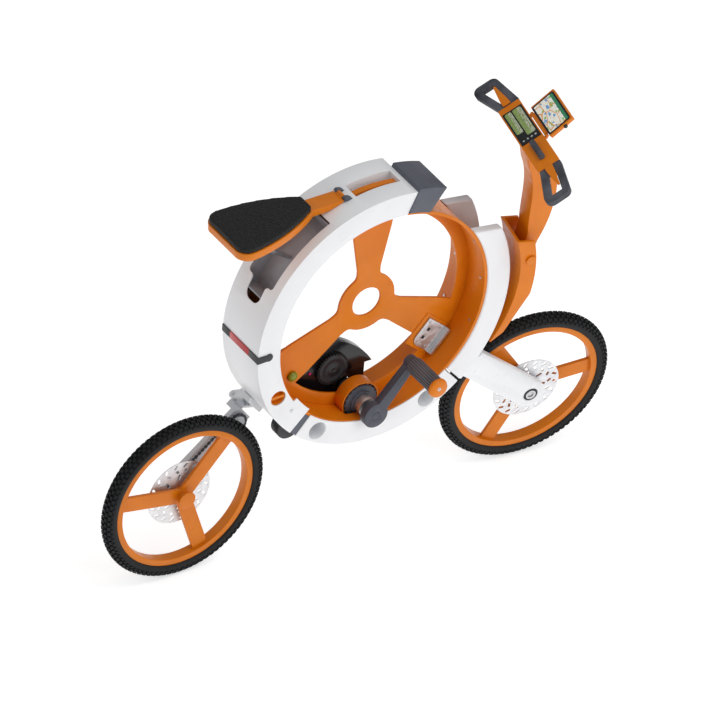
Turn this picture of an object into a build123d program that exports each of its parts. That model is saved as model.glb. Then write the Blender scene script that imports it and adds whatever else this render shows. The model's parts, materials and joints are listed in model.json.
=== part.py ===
"""Folding city bicycle with a ring-shaped body, in millimetres.

Origin: centre of the ring's hub hole. +X forwards, +Y to the rider's left, +Z up.
The front wheel, its arm and the handlebar column stand turned by steer_rest about
the steering axis, which runs outwards from the ring's centre through the front axle.
"""
import os
from math import cos, hypot, radians, sin

from build123d import *

# ---- driving dimensions -------------------------------------------------------------
wheel_radius = 254.0
wheel_reach = 723.0  # ring centre to either axle
front_angle = -40.1  # direction of the front axle seen from the right, from +X
rear_angle = 220.1
steer_rest = 10.0

drum_inner = 328.0
drum_wall = 6.0
drum_half = 85.0
flange_outer = 337.0
flange_thickness = 3.0
plate_thickness = 8.0
hub_hole = 45.0
shell_outer = 402.0
shell_wall = 3.5
cheek_outer = 410.0
cheek_thickness = 28.0

running = 0.05  # radial clearance of a shaft in its bore
gap = 0.5  # between neighbouring pieces that move past each other

tyre_half = 21.0
rim_inner = 199.0
rim_outer = 218.6
rim_half = 15.5
hub_radius = 20.0
axle_radius = 7.5
disc_radius = 100.0
disc_thickness = 2.0

crank_x = -21.0
crank_z = -299.0
crank_length = 175.0
crank_rest = 51.0
crank_thickness = 24.0
crank_right = drum_half + 15.0  # inner face of the right crank from the middle plane
motor_from = drum_half + 4.5
motor_to = motor_from + 22.5
crank_left = motor_to + 8.0
spindle_radius = 12.0
pedal_length = 120.0
pedal_radius = 25.0
pedal_axle = 6.0
chainring_radius = 52.0
chainring_teeth = 40

rear_hinge_reach = 430.0
rear_hinge_y = 90.0
front_hinge_reach = 436.0
front_arm_inner = 27.0
front_arm_thickness = 21.0
front_arm_width = 88.0
hinge_pin = 5.0

column_inner = 438.0
column_wall = 8.0
column_depth = 48.0
column_half = 55.0
stem_half = 28.0
stem_pin = 8.0
console_x = 414.0
console_z = 497.0
console_slope = 31.0
console_half = 125.0
console_width = 68.0
console_thickness = 22.0
loop_bar = 21.0
loop_thickness = 18.0

seat_slope = 4.1
seat_half = 98.0
seat_pad_thickness = 14.0
seat_base_thickness = 22.0

roller_radius = 36.0
roller_pin = 6.0

# ---- frames -------------------------------------------------------------------------
front_dir = (cos(radians(front_angle)), 0, sin(radians(front_angle)))
rear_dir = (cos(radians(rear_angle)), 0, sin(radians(rear_angle)))
turned = Location((0, 0, 0), front_dir, steer_rest)


def at_y(y):
    """Side plane at this y: local x forwards, local y up, normal to the rider's right."""
    return Plane.XZ.offset(-y)


def steered(plane):
    return Plane(turned * plane.location)


def along(direction, y):
    """Side plane whose local x runs along an arm."""
    return Plane(origin=(0, y, 0), x_dir=direction, z_dir=(0, -1, 0))


def polar(radius, angle):
    return (radius * cos(radians(angle)), radius * sin(radians(angle)))


def sector(inner, outer, start, end, mode=Mode.ADD):
    """Face of a ring's sector, for use inside a sketch."""
    with BuildSketch() as face:
        with BuildLine():
            far = CenterArc((0, 0), outer, start, end - start)
            near = CenterArc((0, 0), inner, start, end - start)
            Line(near @ 0, far @ 0)
            Line(near @ 1, far @ 1)
        make_face()
    add(face.sketch_local, mode=mode)


def save(piece, name):
    piece.part.label = name
    export_step(piece.part, f"parts/{name}.step")


os.makedirs("parts", exist_ok=True)

drum_outer = drum_inner + drum_wall
shell_half = drum_half + shell_wall
crank_axis = (crank_x, crank_z)

# ---- ring: drum and spider ----------------------------------------------------------
roller_angle = 228.4
roller_reach = 396.0
sleeve_radius = 27.0
arch_outer = 58.0
arch_wall = 4.0

with BuildPart() as drum:
    with BuildSketch(at_y(drum_half)):
        Circle(drum_outer)
        Circle(drum_inner, mode=Mode.SUBTRACT)
    extrude(amount=2 * drum_half)
    for edge in (drum_half, -drum_half + flange_thickness):
        with BuildSketch(at_y(edge)):
            Circle(flange_outer)
            Circle(drum_inner, mode=Mode.SUBTRACT)
        extrude(amount=flange_thickness)
    # slot in the floor where the chainring dips through
    with BuildSketch(at_y(-34)):
        with Locations(crank_axis):
            Circle(chainring_radius + 5)
    extrude(amount=20, mode=Mode.SUBTRACT)
save(drum, "drum")

window_outer = 292.0
arm_angles = (90, 210, 330)
pad_from = 226.0
pad_to = 314.0
pad_height = 3.0
with BuildPart() as spider_plate:
    with BuildSketch(at_y(plate_thickness / 2)):
        Circle(drum_inner)
        Circle(window_outer, mode=Mode.SUBTRACT)
        Circle(90)
        for angle in arm_angles:
            with Locations(Location((0, 0, 0), (0, 0, angle))):
                Polygon((40, -37), (110, -37), (240, -62), (300, -68),
                        (300, 68), (240, 62), (110, 37), (40, 37), align=None)
        inner_corners = [v for v in vertices() if 80 < hypot(v.X, v.Y) < 110]
        fillet(inner_corners, 22)
        Circle(hub_hole, mode=Mode.SUBTRACT)
        # clearance for the crank spindle
        with Locations(crank_axis):
            Circle(spindle_radius + 4, mode=Mode.SUBTRACT)
    extrude(amount=plate_thickness)
    # raised pad on the forward arm, under the steering bracket
    with BuildSketch(along(front_dir, -plate_thickness / 2)):
        with Locations(((pad_from + pad_to) / 2, 0)):
            Rectangle(pad_to - pad_from, 104)
    extrude(amount=pad_height)
save(spider_plate, "spider_plate")

# ---- white shells round the ring ----------------------------------------------------
rear_start = 79.5
rear_end = 226.4
strip_end = 230.0
bottom_end = 311.5
block_corners = ((82, 405), (170, 382), (125, 320), (55, 343))
slot_from = -82.0
slot_to = 60.0
slot_half = 27.0
recess_from = 117.0
recess_to = 152.0
recess_tip = 161.0
recess_half = 58.0
recess_corner = 12.0
tip_half = 32.0
cap_reach = 361.5
cap_angle = 206.0
cap_radius = 23.5
pocket_reach = 366.5
pocket_angles = (239.4, 297.1)
pocket_radius = 27.0
skin_inner = shell_outer - shell_wall
# region in front of the line through the block's two rear corners
block_dx = block_corners[0][0] - block_corners[3][0]
block_dz = block_corners[0][1] - block_corners[3][1]
beyond_block = ((block_corners[3][0] - 2 * block_dx, block_corners[3][1] - 2 * block_dz),
                (block_corners[0][0] + 2 * block_dx, block_corners[0][1] + 2 * block_dz),
                (400, 600), (400, 150))


# plane across the middle of the recess: local x down the ring's rear, local z outwards
recess_middle = (recess_from + recess_tip) / 2
recess_out = (cos(radians(recess_middle)), 0, sin(radians(recess_middle)))
recess_plane = Plane(origin=[360 * c for c in recess_out], z_dir=recess_out,
                     x_dir=(-recess_out[2], 0, recess_out[0]))


def along_skin(angle):
    """Local x on recess_plane of a place on the skin, from its angle about the ring's centre."""
    return shell_outer * sin(radians(angle - recess_middle))


def channel(start, end):
    """Skin and two side faces of a shell, open towards the drum."""
    with BuildSketch(at_y(drum_half)) as skin:
        sector(skin_inner, shell_outer, start, end)
    extrude(skin.sketch, amount=2 * drum_half)
    for edge in (shell_half, -drum_half):
        with BuildSketch(at_y(edge)) as face:
            sector(drum_inner + 3, shell_outer, start, end)
        extrude(face.sketch, amount=shell_wall)


def roller_opening():
    with BuildSketch(at_y(-22)) as opening:
        with Locations(polar(roller_reach, roller_angle)):
            Circle(roller_radius + 4)
    extrude(opening.sketch, amount=44, mode=Mode.SUBTRACT)


with BuildPart() as rear_shell:
    channel(rear_start - 3, rear_end)
    # corner plate that reaches inwards at the lower end of the near face
    with BuildSketch(at_y(-drum_half)):
        sector(drum_inner - 10, drum_inner + 4, rear_end - 12, rear_end)
    extrude(amount=shell_wall)
    # front end, cut to the slanted face of the slate block
    with BuildSketch(at_y(100)):
        Polygon(*beyond_block, align=None)
    extrude(amount=200, mode=Mode.SUBTRACT)
    # carry-handle slot in the skin
    with BuildSketch(Plane.XY.offset(380)):
        with Locations(((slot_from + slot_to) / 2, 0)):
            Rectangle(slot_to - slot_from, 2 * slot_half)
    extrude(amount=40, mode=Mode.SUBTRACT)
    # recess under the saddle: a wide part and a narrow tip, with rounded corners
    with BuildSketch(recess_plane):
        Polygon(*[(along_skin(angle), side * half) for angle, half, side in (
            (recess_from, recess_half, 1), (recess_to, recess_half, 1), (recess_to, tip_half, 1),
            (recess_tip, tip_half, 1), (recess_tip, tip_half, -1), (recess_to, tip_half, -1),
            (recess_to, recess_half, -1), (recess_from, recess_half, -1))], align=None)
        tip_corners = vertices().sort_by(Axis.X)[-2:]
        fillet(tip_corners, tip_half - 8)
        shoulders = vertices().filter_by(lambda v: abs(v.X - along_skin(recess_to)) < 1)
        fillet(shoulders, recess_corner)
    extrude(amount=60, mode=Mode.SUBTRACT)
    # round hole of the side cap, near face only
    with BuildSketch(at_y(-drum_half + 1)):
        with Locations(polar(cap_reach, cap_angle)):
            Circle(cap_radius)
    extrude(amount=shell_wall + 2, mode=Mode.SUBTRACT)
    roller_opening()
save(rear_shell, "rear_shell")

with BuildPart() as bottom_shell:
    channel(strip_end, bottom_end)
    for angle in pocket_angles:
        with BuildSketch(at_y(shell_half)):
            with Locations(polar(pocket_reach, angle)):
                Circle(pocket_radius + 2)
        extrude(amount=2 * shell_half)
        with BuildSketch(at_y(shell_half + 1)):
            with Locations(polar(pocket_reach, angle)):
                Circle(pocket_radius)
        extrude(amount=2 * shell_half + 2, mode=Mode.SUBTRACT)
    roller_opening()
save(bottom_shell, "bottom_shell")

with BuildPart() as joint_strip:
    for edge in (drum_half + 2, -drum_half + 3):
        with BuildSketch(at_y(edge)):
            sector(flange_outer, shell_outer - 3, rear_end, strip_end)
        extrude(amount=5)
    # pin of the trolley roller, inwards from the near strip
    with BuildSketch(at_y(-20)):
        with Locations(polar(roller_reach, roller_angle)):
            Circle(roller_pin)
    extrude(amount=drum_half - 21)
save(joint_strip, "joint_strip")

with BuildPart() as side_cap:
    with BuildSketch(at_y(-drum_half + 12)):
        with Locations(polar(cap_reach, cap_angle)):
            Circle(cap_radius - 0.5)
            Circle(cap_radius - 3, mode=Mode.SUBTRACT)
            Rectangle(2 * cap_radius - 2, 8)
    extrude(amount=11.5)
    with BuildSketch(at_y(-drum_half + 15)):
        with Locations(polar(cap_reach, cap_angle)):
            Circle(cap_radius - 0.5)
    extrude(amount=3)
save(side_cap, "side_cap")

block_near = shell_half + 3.5
block_far = 46.0
with BuildPart() as slate_block:
    with BuildSketch(at_y(block_far)):
        with BuildLine():
            top = RadiusArc(block_corners[0], block_corners[1], 416)
            Line(block_corners[1], block_corners[2])
            foot_front = polar(flange_outer, 69.0)
            foot_rear = polar(flange_outer, 81.0)
            Line(block_corners[2], foot_front)
            RadiusArc(foot_front, foot_rear, -flange_outer)
            Line(foot_rear, block_corners[3])
            Line(block_corners[3], block_corners[0])
        make_face()
    extrude(amount=block_far + block_near)
save(slate_block, "slate_block")

cheek_start = -47.5
cheek_corner = (372, 178)
cheek_inner_corner = (273, 193)


def cheek(edge):
    """Thick C-shaped side piece with a nearly level top end."""
    with BuildSketch(at_y(edge)) as side:
        sector(flange_outer, cheek_outer, cheek_start, 40)
        (ox, oz), (ix, iz) = cheek_corner, cheek_inner_corner
        Polygon((ox + 60, oz - 9), (ix - 60, iz + 9), (ix - 60, iz + 200),
                (ox + 60, oz + 200), align=None, mode=Mode.SUBTRACT)
    extrude(side.sketch, amount=cheek_thickness)


with BuildPart() as near_cheek:
    cheek(-shell_half + cheek_thickness)
save(near_cheek, "near_cheek")

with BuildPart() as far_cheek:
    cheek(shell_half)
save(far_cheek, "far_cheek")

tray_low = 350.0
with BuildPart() as handle_tray:
    with BuildSketch(Plane.XY.offset(tray_low)):
        with Locations(((slot_from + slot_to) / 2, 0)):
            Rectangle(slot_to - slot_from + 6, 2 * slot_half + 6)
            Rectangle(slot_to - slot_from, 2 * slot_half, mode=Mode.SUBTRACT)
    extrude(amount=60)
    with BuildSketch(Plane.XY.offset(tray_low)):
        with Locations(((slot_from + slot_to) / 2, 0)):
            Rectangle(slot_to - slot_from + 6, 2 * slot_half + 6)
    extrude(amount=3)
    with BuildSketch(at_y(60)):
        Circle(500)
        Circle(skin_inner - 0.2, mode=Mode.SUBTRACT)
        Polygon(*beyond_block, align=None)
    extrude(amount=120, mode=Mode.SUBTRACT)
save(handle_tray, "handle_tray")

handle_top = 384.0
handle_height = 12.0
with BuildPart() as carry_handle:
    with BuildSketch(at_y(9)):
        with BuildLine():
            RadiusArc((slot_from, handle_top), (slot_to, handle_top), 395)
            Line((slot_to, handle_top), (slot_to, handle_top - handle_height))
            RadiusArc((slot_to, handle_top - handle_height),
                      (slot_from, handle_top - handle_height), -395)
            Line((slot_from, handle_top - handle_height), (slot_from, handle_top))
        make_face()
    extrude(amount=18)
save(carry_handle, "carry_handle")

tub_floor = 350.0
with BuildPart() as recess_tub:
    with BuildSketch(at_y(recess_half - 1)):
        sector(tub_floor, skin_inner - 0.3, recess_from + 0.5, recess_to + 6)
        sector(tub_floor + 3, skin_inner + 1, recess_from + 1.2, recess_to + 5.3)
    extrude(amount=2 * recess_half - 2)
    with BuildSketch(at_y(recess_half - 4)):
        sector(tub_floor + 3, skin_inner + 2, recess_from + 1.2, recess_to + 5.3)
    extrude(amount=2 * recess_half - 8, mode=Mode.SUBTRACT)
    with BuildSketch(at_y(recess_half)):
        sector(skin_inner - 0.3, skin_inner + 10, recess_from - 2, recess_to + 10)
    extrude(amount=2 * recess_half, mode=Mode.SUBTRACT)
save(recess_tub, "recess_tub")

# ---- tail light ---------------------------------------------------------------------
light_angle = 181.0
light_half = 1.6
light_height = 3.0
with BuildPart() as tail_lens:
    with BuildSketch(at_y(50)):
        sector(shell_outer, shell_outer + light_height, light_angle - light_half,
               light_angle + light_half)
    extrude(amount=95)
save(tail_lens, "tail_lens")

with BuildPart() as tail_caps:
    with BuildSketch(at_y(shell_half)):
        sector(shell_outer, shell_outer + light_height, light_angle - light_half,
               light_angle + light_half)
    extrude(amount=shell_half - 50)
    with BuildSketch(at_y(-45)):
        sector(shell_outer, shell_outer + light_height, light_angle - light_half,
               light_angle + light_half)
    extrude(amount=shell_half - 45 + light_height)
    with BuildSketch(at_y(-shell_half)):
        sector(shell_outer - 34, shell_outer + 1, light_angle - light_half,
               light_angle + light_half)
        with Locations(polar(shell_outer - 34, light_angle)):
            Circle((shell_outer - 34) * sin(radians(light_half)) + 2)
    extrude(amount=light_height)
save(tail_caps, "tail_caps")

# ---- drive housing inside the ring --------------------------------------------------
arch_near = 44.0
with BuildPart() as drive_arch:
    with BuildSketch(at_y(-plate_thickness / 2)):
        with Locations(crank_axis):
            Circle(arch_outer)
            Circle(arch_outer - arch_wall, mode=Mode.SUBTRACT)
        Circle(drum_inner, mode=Mode.INTERSECT)
    extrude(amount=arch_near - plate_thickness / 2)
save(drive_arch, "drive_arch")

motor_radius = 52.0
motor_neck = 20.0
with BuildPart() as drive_motor:
    with BuildSketch(at_y(motor_to)):
        with Locations(crank_axis):
            Circle(motor_radius)
            Circle(spindle_radius + running, mode=Mode.SUBTRACT)
    extrude(amount=motor_to - motor_from)
    chamfer(drive_motor.edges().filter_by(GeomType.CIRCLE).filter_by(
        lambda edge: edge.radius > motor_radius - 1), 6)
    # neck that joins the motor to the plate
    with BuildSketch(at_y(motor_from)):
        with Locations(crank_axis):
            Circle(motor_neck)
            Circle(spindle_radius + running, mode=Mode.SUBTRACT)
    extrude(amount=motor_from - plate_thickness / 2)
save(drive_motor, "drive_motor")

lens_centre = (-154, -368)
lens_radius = 250.0
with BuildPart() as battery_housing:
    with BuildSketch(at_y(62)):
        with Locations(lens_centre):
            Circle(lens_radius)
        Circle(drum_inner, mode=Mode.INTERSECT)
        with Locations(crank_axis):
            Circle(motor_neck + 8, mode=Mode.SUBTRACT)
        with Locations((crank_x + arch_outer + 40, crank_z)):
            Rectangle(80, 120, mode=Mode.SUBTRACT)
    extrude(amount=30)
save(battery_housing, "battery_housing")

with BuildPart() as spindle_sleeve:
    with BuildSketch(at_y(-54)):
        with Locations(crank_axis):
            Circle(sleeve_radius)
            Circle(spindle_radius + running, mode=Mode.SUBTRACT)
    extrude(amount=26)
    # foot that carries the sleeve on the drum's floor
    with BuildSketch(at_y(-58)):
        with Locations((crank_x, crank_z - 20)):
            Rectangle(40, 40)
        Circle(drum_inner, mode=Mode.INTERSECT)
        with Locations(crank_axis):
            Circle(sleeve_radius - 1, mode=Mode.SUBTRACT)
    extrude(amount=18)
save(spindle_sleeve, "spindle_sleeve")

# ---- crankset and pedals ------------------------------------------------------------
pedal_at = (crank_x + crank_length * cos(radians(crank_rest)),
            crank_z + crank_length * sin(radians(crank_rest)))
left_pedal_at = (2 * crank_x - pedal_at[0], 2 * crank_z - pedal_at[1])

with BuildPart() as crank_spindle:
    with BuildSketch(at_y(crank_left + crank_thickness)):
        with Locations(crank_axis):
            Circle(spindle_radius)
    extrude(amount=crank_left + crank_right + 2 * crank_thickness)
save(crank_spindle, "crank_spindle")

with BuildPart() as chainring:
    with BuildSketch(at_y(-39)):
        with Locations(crank_axis):
            Circle(chainring_radius - 3)
            with PolarLocations(chainring_radius - 2.5, chainring_teeth // 2):
                RegularPolygon(4, 3)
            Circle(spindle_radius, mode=Mode.SUBTRACT)
    extrude(amount=8)
    with BuildSketch(at_y(-47)):
        with Locations(crank_axis):
            Circle(34)
            Circle(spindle_radius, mode=Mode.SUBTRACT)
    extrude(amount=6)
save(chainring, "chainring")


def crank(pedal_end, outer_y):
    """Tapered arm from the spindle boss to the pedal boss."""
    with BuildSketch(at_y(outer_y)) as outline:
        with Locations(crank_axis):
            Circle(38)
        with Locations(pedal_end):
            Circle(20)
        dx, dz = pedal_end[0] - crank_x, pedal_end[1] - crank_z
        nx, nz = -dz / crank_length, dx / crank_length
        Polygon((crank_x + 20 * nx, crank_z + 20 * nz),
                (pedal_end[0] + 13 * nx, pedal_end[1] + 13 * nz),
                (pedal_end[0] - 13 * nx, pedal_end[1] - 13 * nz),
                (crank_x - 20 * nx, crank_z - 20 * nz), align=None)
        with Locations(crank_axis):
            Circle(spindle_radius, mode=Mode.SUBTRACT)
        with Locations(pedal_end):
            Circle(pedal_axle, mode=Mode.SUBTRACT)
    extrude(outline.sketch, amount=crank_thickness)


with BuildPart() as right_crank:
    crank(pedal_at, -crank_right)
save(right_crank, "right_crank")

with BuildPart() as left_crank:
    crank(left_pedal_at, crank_left + crank_thickness)
save(left_crank, "left_crank")

crank_out_right = crank_right + crank_thickness
crank_out_left = crank_left + crank_thickness
with BuildPart() as pedal_axles:
    with BuildSketch(at_y(-crank_right)):
        with Locations(pedal_at):
            Circle(pedal_axle)
    extrude(amount=crank_thickness + pedal_length - 10)
    with BuildSketch(at_y(crank_out_left + pedal_length - 10)):
        with Locations(left_pedal_at):
            Circle(pedal_axle)
    extrude(amount=crank_thickness + pedal_length - 10)
save(pedal_axles, "pedal_axles")


def pedal(centre, near_y, far_y):
    """Ribbed barrel between two y values, bored from its inner end."""
    high = max(near_y, far_y)
    with BuildSketch(at_y(high)) as barrel:
        with Locations(centre):
            Circle(pedal_radius - 3)
            with PolarLocations(pedal_radius - 3.5, 16):
                Rectangle(7, 5)
            Circle(pedal_axle + running, mode=Mode.SUBTRACT)
    extrude(barrel.sketch, amount=abs(near_y - far_y))
    # end cap, wider than the barrel
    cap_high = far_y + 6 if far_y > near_y else far_y
    with BuildSketch(at_y(cap_high)) as cap:
        with Locations(centre):
            Circle(pedal_radius + 4)
    extrude(cap.sketch, amount=6)


with BuildPart() as right_pedal:
    pedal(pedal_at, -crank_out_right - gap, -crank_out_right - pedal_length)
save(right_pedal, "right_pedal")
with BuildPart() as left_pedal:
    pedal(left_pedal_at, crank_out_left + gap, crank_out_left + pedal_length)
save(left_pedal, "left_pedal")

# ---- wheels -------------------------------------------------------------------------
tyre_middle = wheel_radius - tyre_half
tyre_seat = rim_outer - 4.1
rim_lip = 2.5
spoke_width = 46.0
spoke_thickness = 10.0
hub_half = 22.0
hub_cap = 6.0
rear_spokes = 50.0
front_spokes = 5.0


def wheel_plane(frame, centre, y):
    """Plane across the wheel's axis, at y towards the rider's left."""
    return Plane(frame.location * Location((centre[0], y, centre[1])) * Plane.XZ.location)


def tyre(frame, centre):
    cut = Plane(frame.location * Location((centre[0], 0, centre[1])))
    with BuildSketch(cut) as section:
        with Locations((tyre_middle, 0)):
            Circle(tyre_half)
        with Locations((tyre_seat - 50, 0)):
            Rectangle(100, 60, mode=Mode.SUBTRACT)
        for side in (-1, 1):
            with Locations((rim_outer - 9.8, side * (rim_half - rim_lip + 20))):
                Rectangle(20, 40, mode=Mode.SUBTRACT)
    revolve(section.sketch, axis=Axis(cut.origin, cut.y_dir))


def rim(frame, centre, start, cap_side):
    """Rim channel, three flat spokes and hub with its cap on one side."""
    cut = Plane(frame.location * Location((centre[0], 0, centre[1])))
    with BuildSketch(cut) as section:
        with Locations(((rim_inner + tyre_seat) / 2, 0)):
            Rectangle(tyre_seat - rim_inner, 2 * rim_half)
        for side in (-1, 1):
            with Locations(((rim_inner + rim_outer) / 2, side * (rim_half - rim_lip / 2))):
                Rectangle(rim_outer - rim_inner, rim_lip)
    revolve(section.sketch, axis=Axis(cut.origin, cut.y_dir))
    with BuildSketch(wheel_plane(frame, centre, spoke_thickness / 2)) as spokes:
        for arm in range(3):
            with Locations(Location((0, 0, 0), (0, 0, start + 120 * arm))):
                with Locations((rim_inner / 2 + 1, 0)):
                    Rectangle(rim_inner, spoke_width)
    extrude(spokes.sketch, amount=spoke_thickness)
    with BuildSketch(wheel_plane(frame, centre, hub_half)) as barrel:
        Circle(hub_radius)
    extrude(barrel.sketch, amount=2 * hub_half)
    cap_high = hub_half + hub_cap if cap_side > 0 else -hub_half
    with BuildSketch(wheel_plane(frame, centre, cap_high)) as cap:
        Circle(hub_radius + 6)
    extrude(cap.sketch, amount=hub_cap)
    bore_high = hub_half - 1 if cap_side > 0 else hub_half
    with BuildSketch(wheel_plane(frame, centre, bore_high)) as bore:
        Circle(axle_radius + running)
    extrude(bore.sketch, amount=2 * hub_half - 1, mode=Mode.SUBTRACT)


def brake_disc(frame, centre, y):
    with BuildSketch(wheel_plane(frame, centre, y)) as plate:
        Circle(disc_radius)
        Circle(hub_radius, mode=Mode.SUBTRACT)
        for reach, count in ((88, 18), (62, 9)):
            with PolarLocations(reach, count):
                SlotOverall(16, 8, rotation=35, mode=Mode.SUBTRACT)
    extrude(plate.sketch, amount=disc_thickness)


straight = Plane.XY
front_frame = steered(Plane.XY)
rear_centre = polar(wheel_reach, rear_angle)
front_centre = polar(wheel_reach, front_angle)

with BuildPart() as rear_tyre:
    tyre(straight, rear_centre)
save(rear_tyre, "rear_tyre")
with BuildPart() as rear_rim:
    rim(straight, rear_centre, rear_spokes, -1)
save(rear_rim, "rear_rim")
with BuildPart() as rear_disc:
    brake_disc(straight, rear_centre, 18)
save(rear_disc, "rear_disc")
with BuildPart() as front_tyre:
    tyre(front_frame, front_centre)
save(front_tyre, "front_tyre")
with BuildPart() as front_rim:
    rim(front_frame, front_centre, front_spokes, 1)
save(front_rim, "front_rim")
with BuildPart() as front_disc:
    brake_disc(front_frame, front_centre, -16)
save(front_disc, "front_disc")

# ---- rear arm and its hinge ---------------------------------------------------------
def across(direction, offset):
    """Plane holding an arm's direction (local x) and +Y (local y), moved sideways."""
    plane = Plane(origin=(0, 0, 0), x_dir=direction, z_dir=(-direction[2], 0, direction[0]))
    return plane.offset(offset)


knuckle = 12.0
rear_knuckle_half = 19.5
rear_lug = 12.5
bracket_height = 16.0
with BuildPart() as rear_hinge_bracket:
    with BuildSketch(along(rear_dir, 82)):
        with Locations((shell_outer + bracket_height / 2, 0)):
            Rectangle(bracket_height, 2 * (rear_knuckle_half + gap + rear_lug))
    extrude(amount=50)
    with BuildSketch(at_y(90)):
        Circle(shell_outer + 0.1)
    extrude(amount=80, mode=Mode.SUBTRACT)
    for low in (rear_knuckle_half + gap, -rear_knuckle_half - gap - rear_lug):
        with BuildSketch(across(rear_dir, low)):
            with Locations((rear_hinge_reach, rear_hinge_y)):
                Circle(knuckle)
            Polygon((shell_outer + 5, 62), (shell_outer + 5, 82),
                    (rear_hinge_reach - 11, rear_hinge_y + 5),
                    (rear_hinge_reach + 9, rear_hinge_y - 8),
                    (rear_hinge_reach - 9, 62), align=None)
            with Locations((rear_hinge_reach, rear_hinge_y)):
                Circle(hinge_pin, mode=Mode.SUBTRACT)
        extrude(amount=rear_lug)
save(rear_hinge_bracket, "rear_hinge_bracket")

with BuildPart() as rear_hinge_pin:
    with BuildSketch(across(rear_dir, -rear_knuckle_half - rear_lug - 4)):
        with Locations((rear_hinge_reach, rear_hinge_y)):
            Circle(hinge_pin)
    extrude(amount=2 * (rear_knuckle_half + rear_lug) + 8)
save(rear_hinge_pin, "rear_hinge_pin")

rear_arm_inner = 44.0
rear_arm_outer = 60.0
rear_arm_half = 32.0
rear_root = rear_hinge_reach + knuckle + 2
idler_reach = 480.0
chain_low = 31.0
chain_high = 37.0
cog_radius = 24.0
with BuildPart() as rear_arm:
    with BuildSketch(along(rear_dir, rear_arm_outer)):
        with Locations(((rear_root + wheel_reach) / 2, 0)):
            Rectangle(wheel_reach - rear_root, 2 * rear_arm_half)
        with Locations((wheel_reach, 0)):
            Circle(rear_arm_half)
            Circle(axle_radius, mode=Mode.SUBTRACT)
    extrude(amount=rear_arm_outer - rear_arm_inner)
    with BuildSketch(along(rear_dir, 84)):
        with Locations((rear_root + 9, 0)):
            Rectangle(18, 2 * rear_arm_half)
    extrude(amount=84 - rear_arm_inner)
    with BuildSketch(across(rear_dir, -rear_knuckle_half)):
        with Locations((rear_hinge_reach, rear_hinge_y)):
            Circle(knuckle)
        Polygon((rear_hinge_reach - 2, rear_hinge_y - 11.8), (rear_root + 4, 72),
                (rear_root + 12, 84), (rear_hinge_reach + 4, rear_hinge_y + 11), align=None)
        with Locations((rear_hinge_reach, rear_hinge_y)):
            Circle(hinge_pin + running, mode=Mode.SUBTRACT)
    extrude(amount=2 * rear_knuckle_half)
    # round guide that the chain wraps at the root of the arm
    with BuildSketch(along(rear_dir, rear_arm_inner)):
        with Locations((idler_reach, 0)):
            Circle(cog_radius - 1)
    extrude(amount=rear_arm_inner - chain_low)
save(rear_arm, "rear_arm")

with BuildPart() as rear_axle_bolt:
    with BuildSketch(along(rear_dir, rear_arm_outer)):
        with Locations((wheel_reach, 0)):
            Circle(axle_radius)
    extrude(amount=rear_arm_outer + hub_half - 2)
    with BuildSketch(along(rear_dir, rear_arm_outer + 6)):
        with Locations((wheel_reach, 0)):
            RegularPolygon(13, 6)
    extrude(amount=6)
save(rear_axle_bolt, "rear_axle_bolt")


with BuildPart() as rear_cog:
    with BuildSketch(along(rear_dir, chain_high)):
        with Locations((wheel_reach, 0)):
            Circle(cog_radius)
            Circle(axle_radius + running, mode=Mode.SUBTRACT)
    extrude(amount=chain_high - chain_low)
    with BuildSketch(along(rear_dir, rear_arm_inner - gap)):
        with Locations((wheel_reach, 0)):
            Circle(13)
            Circle(axle_radius + running, mode=Mode.SUBTRACT)
    extrude(amount=rear_arm_inner - gap - hub_half)
save(rear_cog, "rear_cog")

chain_inner = cog_radius + 1
chain_outer = chain_inner + 6
with BuildPart() as chain:
    with BuildSketch(along(rear_dir, chain_high - 0.5)):
        with Locations(((idler_reach + wheel_reach) / 2, 0)):
            SlotCenterToCenter(wheel_reach - idler_reach, 2 * chain_outer)
            SlotCenterToCenter(wheel_reach - idler_reach, 2 * chain_inner, mode=Mode.SUBTRACT)
    extrude(amount=chain_high - chain_low - 1)
save(chain, "chain")

# ---- steering head, fixed between the cheeks ----------------------------------------
steer_pin = 12.0
head_outer = 404.0
head_half = 36.0
cheek_inner_y = shell_half - cheek_thickness
with BuildPart() as steering_head:
    with BuildSketch(along(front_dir, cheek_inner_y)):
        with Locations(((drum_inner + head_outer) / 2, 0)):
            Rectangle(head_outer - drum_inner, 2 * head_half)
    extrude(amount=2 * cheek_inner_y)
    with BuildSketch(at_y(cheek_inner_y + 1)):
        Circle(drum_outer)
    extrude(amount=2 * cheek_inner_y + 2, mode=Mode.SUBTRACT)
    with BuildSketch(Plane(origin=[340 * c for c in front_dir], z_dir=front_dir)):
        Circle(steer_pin + running)
    extrude(amount=head_outer - 330, mode=Mode.SUBTRACT)
save(steering_head, "steering_head")

bracket_from = 240.0
with BuildPart() as head_bracket:
    with BuildSketch(along(front_dir, -plate_thickness / 2 - 3)):
        with BuildLine():
            Polyline((bracket_from, -20), (bracket_from, 43), (302, 43), (302, -43),
                     (bracket_from + 23, -43))
            RadiusArc((bracket_from + 23, -43), (bracket_from, -20), 23)
        make_face()
        with Locations((262, 14), (262, -14)):
            Rectangle(9, 8, mode=Mode.SUBTRACT)
    extrude(amount=5)
    with BuildSketch(across(front_dir, -43)):
        Polygon((302, -7), (302, -12), (312, -26), (322, -26), (322, -20), (314, -7), align=None)
    extrude(amount=86)
save(head_bracket, "head_bracket")

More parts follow.
